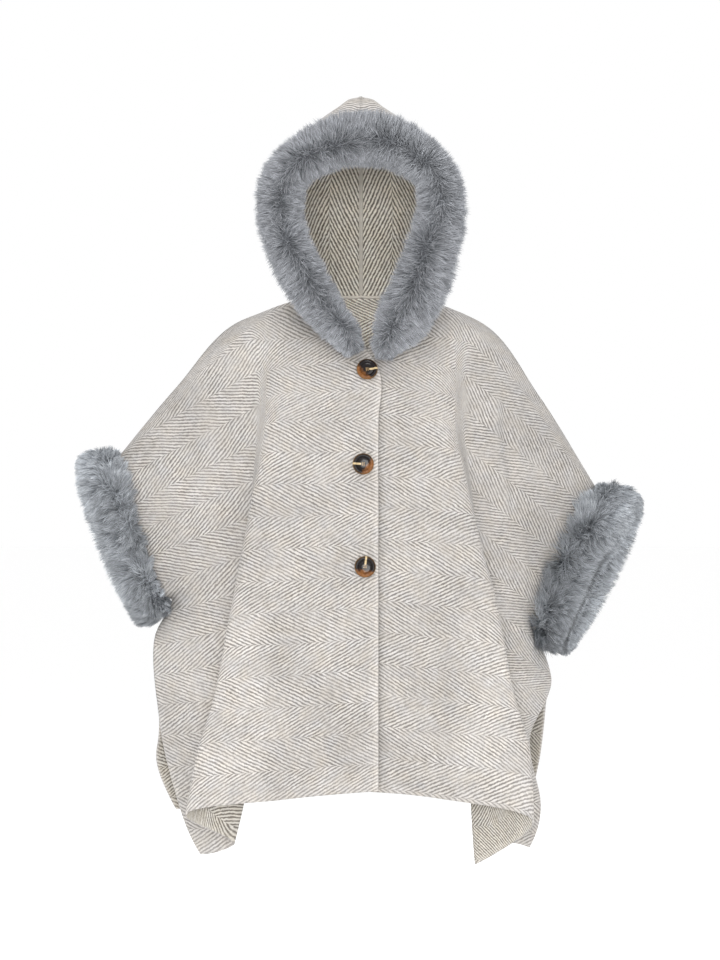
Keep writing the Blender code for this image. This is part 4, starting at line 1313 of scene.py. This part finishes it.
def cuff_fibres(look, front, count, random):
    """Fibres of a cuff's fur: they part near the cloth and lie to the cloth and to the opening."""
    pile = CUFF_PILE
    profile = cuff_profile()
    travelled = lengths_along(profile)
    way = unit(np.gradient(profile, axis=0))
    square = np.stack([-way[:, 1], way[:, 0]], axis=-1)
    place = cuff_spots(travelled[-1], count, random)
    turns = random.uniform(0, 2 * math.pi, count)
    zones = cuff_zones(look, turns, place)
    opening = zones.to_opening[:, None]
    root = FUR_ROOT + (pile.cloth_side_root - FUR_ROOT) * zones.near_cloth
    spot = CUFF_CORE + root[:, None] * (sampled(place, travelled, profile) - CUFF_CORE)
    loop, out, round_way, axis = cuff_ring(look.cuff, turns)
    spot_along, spot_away = cuff_places(look.cuff, turns, spot)
    roots = loop + spot_along * axis + spot_away * out

    up = sampled(place, travelled, square)
    up[:, 0] *= 1 - pile.opening_flat * zones.to_opening
    up[:, 1] += pile.opening_lift * zones.to_opening * np.sign(up[:, 1])
    ways = cloth_ways(front, look.cuff, turns)
    on_cloth = unit(out - np.sum(out * ways, axis=1, keepdims=True) * ways)
    normals = unit(unit(up[:, :1] * axis + up[:, 1:] * out) + zones.near_cloth[:, None] * on_cloth)

    line = look.parting + ripple(turns, pile.parting_waves) + random.normal(0, pile.parting_spread, count)
    to_cloth = (1 - np.tanh((place - line) / pile.parting_width)[:, None]) / 2
    along = sampled(place, travelled, way)
    along[:, 0] = np.maximum(along[:, 0], pile.least_along)
    along[:, 1] *= np.where(along[:, 1] > 0, pile.out_share, 1.0)
    along = along + opening * (pile.opening_way - along)
    sway = ripple(turns + pile.sway_twist * place, pile.sway_waves) + ripple(turns, pile.sway_turns)
    sway = sway + random.normal(0, pile.sway_spread, count)
    lays = (1 - to_cloth) * (along[:, :1] * axis + along[:, 1:] * out) + to_cloth * ways
    lays = lays + sway[:, None] * round_way + pile.hang

    lengths = cuff_lengths(look, turns, zones, random)
    rises = random.uniform(*pile.rises, count) * (1 - pile.cloth_lower * zones.near_cloth)
    rises = rises * (1 - pile.below_lower * zones.lower - pile.above_lower * zones.upper)
    inside = place > pile.inside_start
    # painted light on the top and the lower front lobe, painted shade on the cut front rim and along the
    # parting, painted light inside
    paler = pile.upper_painted_light * zones.upper + pile.lobe_painted_light * zones.lobe * zones.lower * zones.near_cloth
    darker = pile.trim_painted_shade * zones.trimmed * soft_share(place, *pile.trim_edge)
    tones = (1 - pile.parting_shade * hump(place, line, pile.shade_width)) * (1 + paler - darker)
    tones = look.tone * np.where(inside, pile.inside_painted_light, tones)
    for gap in look.gaps:
        first, second = pile.gap_waves
        bent = math.radians(gap) + ripple(place, (first._replace(start=gap), second))
        apart = np.angle(np.exp(1j * (turns - bent)))
        across = hump(place, pile.gap_place, pile.gap_reach)
        parted = pile.gap_part * np.sign(apart) * across * hump(apart, 0, pile.gap_width)
        lays = lays + parted[:, None] * round_way
        tones = tones * (1 - pile.gap_shade * across * hump(apart, 0, pile.gap_shade_width))
    # fibres by the cloth and the opening start past the painted shade at their roots
    starts = np.maximum(pile.cloth_start * zones.near_cloth, pile.opening_start * zones.to_opening)
    places = np.stack([turns * pile.loop_radius, place], axis=-1)
    return Fibres(roots, normals, unit(lays), places, lengths, tones, rises, starts,
                  np.where(inside, pile.inside_tufting, 1.0))


def button(look, material):
    """Polished button with a raised rim and a dished middle."""
    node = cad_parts[look.name]
    points = np.array([node.matrix_world @ v.co for v in node.data.vertices]) / MM
    centre = points.mean(axis=0)
    direction = np.linalg.svd(points - centre)[2][2]
    if direction[1] > 0:
        direction = -direction
    seat = centre + ((points - centre) @ direction).min() * direction
    right = unit(np.cross((0.0, 0.0, 1.0), direction))
    up = np.cross(direction, right)
    profile = smooth_curve(BUTTON_PROFILE, (BUTTON_STEPS,) * (len(BUTTON_PROFILE) - 1))
    turns = np.linspace(0, 2 * math.pi, BUTTON_SIDES, endpoint=False)
    outward = np.cos(turns)[:, None] * right + np.sin(turns)[:, None] * up
    rings = [seat + high * BUTTON["height"] * direction + wide * BUTTON["radius"] * outward
             for wide, high in profile]
    from_streak = turns - math.radians(look.streak)
    flat = np.stack([np.cos(from_streak), np.sin(from_streak)], axis=-1)
    coordinates = np.concatenate([wide * flat for wide, _ in profile])
    return add_mesh(look.name + "_turned", np.concatenate(rings), bar_faces(len(profile), BUTTON_SIDES),
                    coordinates, material, "face")


def ride(piece, node):
    """Ties a finished piece to the frame, in place of a solid."""
    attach(piece, "root")
    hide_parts(node)


def free_edges(name, rows, columns):
    """Which points of a piece's grid lie on a cut edge that isn't sewn to another piece."""
    row, column = np.mgrid[:rows, :columns]
    far = column == columns - 1
    if name.startswith("hood"):
        return np.zeros((rows, columns), bool)
    if name == "back":
        below_seam = row >= row_of(BACK_VENT_SECTION, BACK_ROWS_BETWEEN)
        return (row == rows - 1) | below_seam & ((column == 0) | far)
    below_neck = row >= row_of(NECK_SECTIONS, ROWS_BETWEEN)
    below_seam = row >= row_of(VENT_SECTION, ROWS_BETWEEN)
    return (row == rows - 1) | below_seam & far | below_neck & (column == 0)


def cloth_grids(right, left):
    """Outer faces of the five cloth pieces, and the column of the back where its neckline starts."""
    back = back_grid(right, left)
    first = FINE * sum(COLUMNS_BETWEEN)
    right_neck = back[0, first:first + NECK_COLUMNS + 1]
    left_neck = back[0, first + NECK_COLUMNS:first + 2 * NECK_COLUMNS + 1][::-1]
    grids = dict(front_right=right, front_left=left, back=back,
                 hood_right=hood_grid(right, right_neck, -1), hood_left=hood_grid(left, left_neck, 1))
    return grids, first


def build_cloth(right, left):
    """The five cloth pieces, with the tape and the seam inside them."""
    wools = [wool_material("wool", cream=(0.515, 0.488, 0.46), taupe=(0.17, 0.157, 0.146), felted=0.5)]
    wools.append(wool_material("wool_reverse", cream=(0.62, 0.585, 0.525), taupe=(0.10, 0.085, 0.068),
                               felted=0.1))
    grids, neck_start = cloth_grids(right, left)
    facings = dict(front_right=1, front_left=-1, back=1, hood_right=-1, hood_left=1)
    own = {name: grid_normals(grid, facings[name]) for name, grid in grids.items()}
    shared = seam_normals(grids, own)
    weaves = dict(front_right=front_weave(right, -1, ARM_RIGHT), front_left=front_weave(left, 1, ARM_LEFT),
                  back=back_weave(grids["back"]),
                  hood_right=hood_weave(grids["hood_right"]), hood_left=hood_weave(grids["hood_left"]))
    creases = dict(front_right=CREASES_RIGHT, front_left=CREASES_LEFT, back=CREASES_BACK)
    random = np.random.default_rng(CLOTH_SEED)
    inner = {}
    for name, grid in grids.items():
        rows, columns = grid.shape[:2]
        row, column = np.mgrid[:rows, :columns]
        free = free_edges(name, rows, columns)
        from_rim = np.minimum(np.minimum(row, rows - 1 - row), np.minimum(column, columns - 1 - column))
        push, rubbed = crease_push(grid, creases.get(name, ()), random)
        push = soft_share(from_rim, 0, INLAND) * (push + waviness(grid, random))
        if name == "front_right":
            push = push + lap_lift(grid)
        slant = np.sum(own[name] * shared[name], axis=-1, keepdims=True)
        wall = CLOTH / np.clip(slant, MITRE_LIMIT, 1)
        outer = grid + push[..., None] * own[name]
        inner[name] = outer - shared[name] * wall
        wear = cloth_wear_and_painted_light(name, grid, free, rubbed)
        piece = shell(name + "_cloth", outer, inner[name], weaves[name], wear, free, facings[name], wools)
        ride(piece, name)
    build_binding(inner, shared, neck_start)
    build_hood_seam(inner["hood_right"], shared["hood_right"])


def lap_lift(grid):
    """How far the lap's edge stands off the front under it."""
    top = BUTTON_HEIGHTS[0]
    start, end = LAP_LIFT_TOP
    held = sum(hump(grid[..., 2], height, LAP_HELD) for height in BUTTON_HEIGHTS)
    below_neck = soft_share(grid[..., 2], top + start, top + end)
    return LAP_LIFT * np.clip(1 - held, 0, 1) * below_neck * hump(grid[..., 0], LAP_X, LAP_LIFT_WIDTH)


def patch(grid, distances, heights):
    """How far each point lies in a patch that starts at distances from the middle and at heights."""
    return soft_share(np.abs(grid[..., 0]), *distances) * soft_share(grid[..., 2], *heights)


def cloth_wear_and_painted_light(name, grid, free, rubbed):
    """How far the nap is rubbed, and how far the cloth is darker as painted shade, or paler below 0 as
    painted light, outside and inside.
    """
    rows, columns = grid.shape[:2]
    shade = np.zeros((rows, columns))
    inside = np.zeros((rows, columns))
    across = np.array([lengths_along(row) for row in grid])
    along = np.array([lengths_along(grid[:, column]) for column in range(columns)]).T
    to_edge = np.full((rows, columns), np.inf)
    edges = ((free[:, :1], across), (free[:, -1:], across[:, -1:] - across), (free[-1:], along[-1:] - along))
    for open_edge, distance in edges:
        to_edge = np.where(open_edge, np.minimum(to_edge, distance), to_edge)
    edge = hump(to_edge, 0, WEAR_AND_PAINTED_LIGHT.edge_width)
    below_neck = grid[..., 2] < BUTTON_HEIGHTS[0] + WEAR_AND_PAINTED_LIGHT.lap_top
    # the lap's edge paler, as painted light on its rolled edge
    if name == "front_right":
        shade += WEAR_AND_PAINTED_LIGHT.lap_edge_painted_light * hump(across, 0, WEAR_AND_PAINTED_LIGHT.lap_edge_width) * below_neck
    # a painted shadow on the front under the lap's edge
    if name == "front_left":
        beyond = np.clip(grid[..., 0] - LAP_X, 0, None)
        shade += WEAR_AND_PAINTED_LIGHT.lap_painted_shadow * hump(beyond, 0, WEAR_AND_PAINTED_LIGHT.lap_painted_shadow_width) * below_neck
    # painted light on the shoulders and the lower sides, where shade falls
    if name.startswith("front"):
        from_seam = soft_share(np.arange(rows), 0, WEAR_AND_PAINTED_LIGHT.shoulder_seam_rows)[:, None]
        shade += WEAR_AND_PAINTED_LIGHT.shoulder_painted_light * patch(grid, *WEAR_AND_PAINTED_LIGHT.shoulder) * from_seam
        shade += WEAR_AND_PAINTED_LIGHT.tail_painted_light * patch(grid, *WEAR_AND_PAINTED_LIGHT.tail)
    # the hood's peak paler outside and its inside paler, as painted light
    if name.startswith("hood"):
        shade += WEAR_AND_PAINTED_LIGHT.peak_painted_light * soft_share(grid[..., 2], *WEAR_AND_PAINTED_LIGHT.peak_heights)
        inside += WEAR_AND_PAINTED_LIGHT.hood_inside_painted_light
    # the back's inside below the nape paler, as painted light where the collar shades it
    if name == "back":
        nape = np.exp(-(grid[..., 0] / WEAR_AND_PAINTED_LIGHT.nape_half_width) ** 4)
        inside += WEAR_AND_PAINTED_LIGHT.nape_inside_painted_light * soft_share(grid[..., 2], *WEAR_AND_PAINTED_LIGHT.nape_heights) * nape
    rubbed = np.maximum(rubbed, WEAR_AND_PAINTED_LIGHT.edge * edge)
    worn = rubbed if name.startswith("hood") else np.maximum(rubbed, WEAR_AND_PAINTED_LIGHT.inside)
    sides = ((rubbed, shade), (worn, inside))
    return [np.stack([nap, tone + WEAR_AND_PAINTED_LIGHT.edge_shade * edge], axis=-1) for nap, tone in sides]


def strip(name, line, rings, facing, material):
    """A narrow strip along a line, from its outline at each point."""
    count, sides = rings.shape[:2]
    coordinates = np.stack([np.repeat(lengths_along(line), sides), np.tile(np.arange(sides), count)], axis=-1)
    faces = [face[::facing] for face in bar_faces(count, sides)]
    return add_mesh(name, rings.reshape(-1, 3), faces, coordinates * MM, material)


def build_hood_seam(inner, normals):
    """Ridge of the hood's middle seam, pressed open on the inside."""
    last = int(SEAM_TOP * len(inner))
    seam = inner[1:last, -1]
    inward = -normals[1:last, -1]
    side = unit(np.cross(unit(np.gradient(seam, axis=0)), inward))
    rings = np.stack([seam + wide * side + high * inward for wide, high in SEAM_PROFILE], axis=1)
    felt = felt_material(dark=(0.36, 0.33, 0.29), pale=(0.78, 0.74, 0.67))
    ride(strip("hood_seam", seam, rings, 1, felt), "hood_right")


def build_binding(inner, shared, neck_start):
    """Narrow tape over the neck seam, inside the back of the collar line."""
    shown = FINE * BINDING["columns"]
    middle = neck_start + NECK_COLUMNS
    neck = slice(middle - shown, middle + shown + 1)
    seam = inner["back"][0, neck]
    inward = -shared["back"][0, neck]
    below = inner["back"][1, neck]
    above = np.concatenate([inner["hood_right"][1, -shown - 1:], inner["hood_left"][1, -shown - 1:-1][::-1]])
    half = BINDING["height"] / 2
    near = BINDING["gap"] * inward
    far = near + BINDING["thickness"] * inward
    round_over = near + TAPE_ROUND * BINDING["thickness"] * inward
    low = seam + half * unit(below - seam)
    high = seam + half * unit(above - seam)
    flat_low = seam + TAPE_FLAT * (low - seam)
    flat_high = seam + TAPE_FLAT * (high - seam)
    rings = np.stack([low + near, low + round_over, flat_low + far, seam + far,
                      flat_high + far, high + round_over, high + near, seam + near], axis=1)
    tape = tape_material(dark=(0.62, 0.57, 0.50), pale=(0.85, 0.80, 0.72))
    ride(strip("neck_tape", seam, rings, -1, tape), "neck_binding")


def build_fur(fronts):
    """Fur round the face and round both arm openings."""
    # dark roots stand for painted shade deep in the pile
    fur = fur_material("fur", root=(0.042, 0.045, 0.052), middle=(0.17, 0.178, 0.192),
                       tip=(0.385, 0.396, 0.422))
    pale = fur_material("cuff_fur", root=(0.085, 0.092, 0.102), middle=(0.26, 0.278, 0.30),
                        tip=(0.45, 0.472, 0.50))
    under = plain_material("fur_backing", (0.13, 0.137, 0.15), roughness=0.95)
    random = np.random.default_rng(FUR_SEED)
    ride(hood_core(under), "hood_fur")
    for part in ("a", "b"):
        fibres = hood_fibres(int(HOOD_PILE.count * FEWER), random)
        ride(fibre_mesh("hood_fur_" + part, fibres, HOOD_PILE, random, fur), "hood_fur")
    for look, front in zip(CUFF_LOOKS, fronts):
        ride(cuff_core(look.name + "_core", look.cuff, look.facing, under), look.name)
        fibres = cuff_fibres(look, front, int(CUFF_PILE.count * FEWER), random)
        ride(fibre_mesh(look.name + "_pile", fibres, CUFF_PILE, random, pale), look.name)


def build_buttons():
    """The three buttons."""
    for look in BUTTON_LOOKS:
        turned = shell_button_material(look.name + "_shell", math.radians(look.amber - look.streak))
        ride(button(look, turned), look.name)


def build_floor():
    """Pale floor."""
    corners = ((-1, -1), (1, -1), (1, 1), (-1, 1))
    mesh = bpy.data.meshes.new("floor")
    mesh.from_pydata([(FLOOR_HALF * x, FLOOR_HALF * y, FLOOR_HEIGHT) for x, y in corners], [], [(0, 1, 2, 3)])
    mesh.materials.append(plain_material("floor", (0.995, 0.995, 0.995), roughness=0.9))
    floor = bpy.data.objects.new("floor", mesh)
    bpy.context.scene.collection.objects.link(floor)


def build_lights():
    """White surroundings and soft lights."""
    scene = bpy.context.scene
    scene.world = bpy.data.worlds.new("studio")
    scene.world.use_nodes = True
    background = scene.world.node_tree.nodes["Background"].inputs
    background["Color"].default_value = (1, 1, 1, 1)
    background["Strength"].default_value = 1.0
    scene.view_settings.view_transform = "Standard"
    for light in LIGHTS:
        area = bpy.data.lights.new(light.name, "AREA")
        area.size = light.size
        area.energy = light.power
        lamp = bpy.data.objects.new(light.name, area)
        lamp.location = light.place
        toward = np.array(LIGHTS_AIM) - np.array(light.place)
        pitch = math.atan2(math.hypot(toward[0], toward[1]), -toward[2])
        lamp.rotation_euler = (pitch, 0, math.atan2(-toward[0], toward[1]))
        scene.collection.objects.link(lamp)


def build_camera():
    """The camera, straight in front."""
    scene = bpy.context.scene
    lens = bpy.data.cameras.new("camera")
    lens.sensor_fit = "VERTICAL"
    lens.sensor_height = CAMERA.sensor_height
    lens.lens = CAMERA.lens
    lens.clip_end = CAMERA.clip_end
    camera = bpy.data.objects.new("camera", lens)
    camera.location = CAMERA.place
    camera.rotation_euler = (math.pi / 2, 0, 0)
    scene.collection.objects.link(camera)
    scene.camera = camera


front_right = front_grid(FRONT_RIGHT, CUFF_RIGHT, SIDE_RIGHT)
front_left = front_grid(FRONT_LEFT, CUFF_LEFT, SIDE_LEFT)
build_cloth(front_right, front_left)
build_fur((front_right, front_left))
build_buttons()
build_floor()
build_lights()
build_camera()
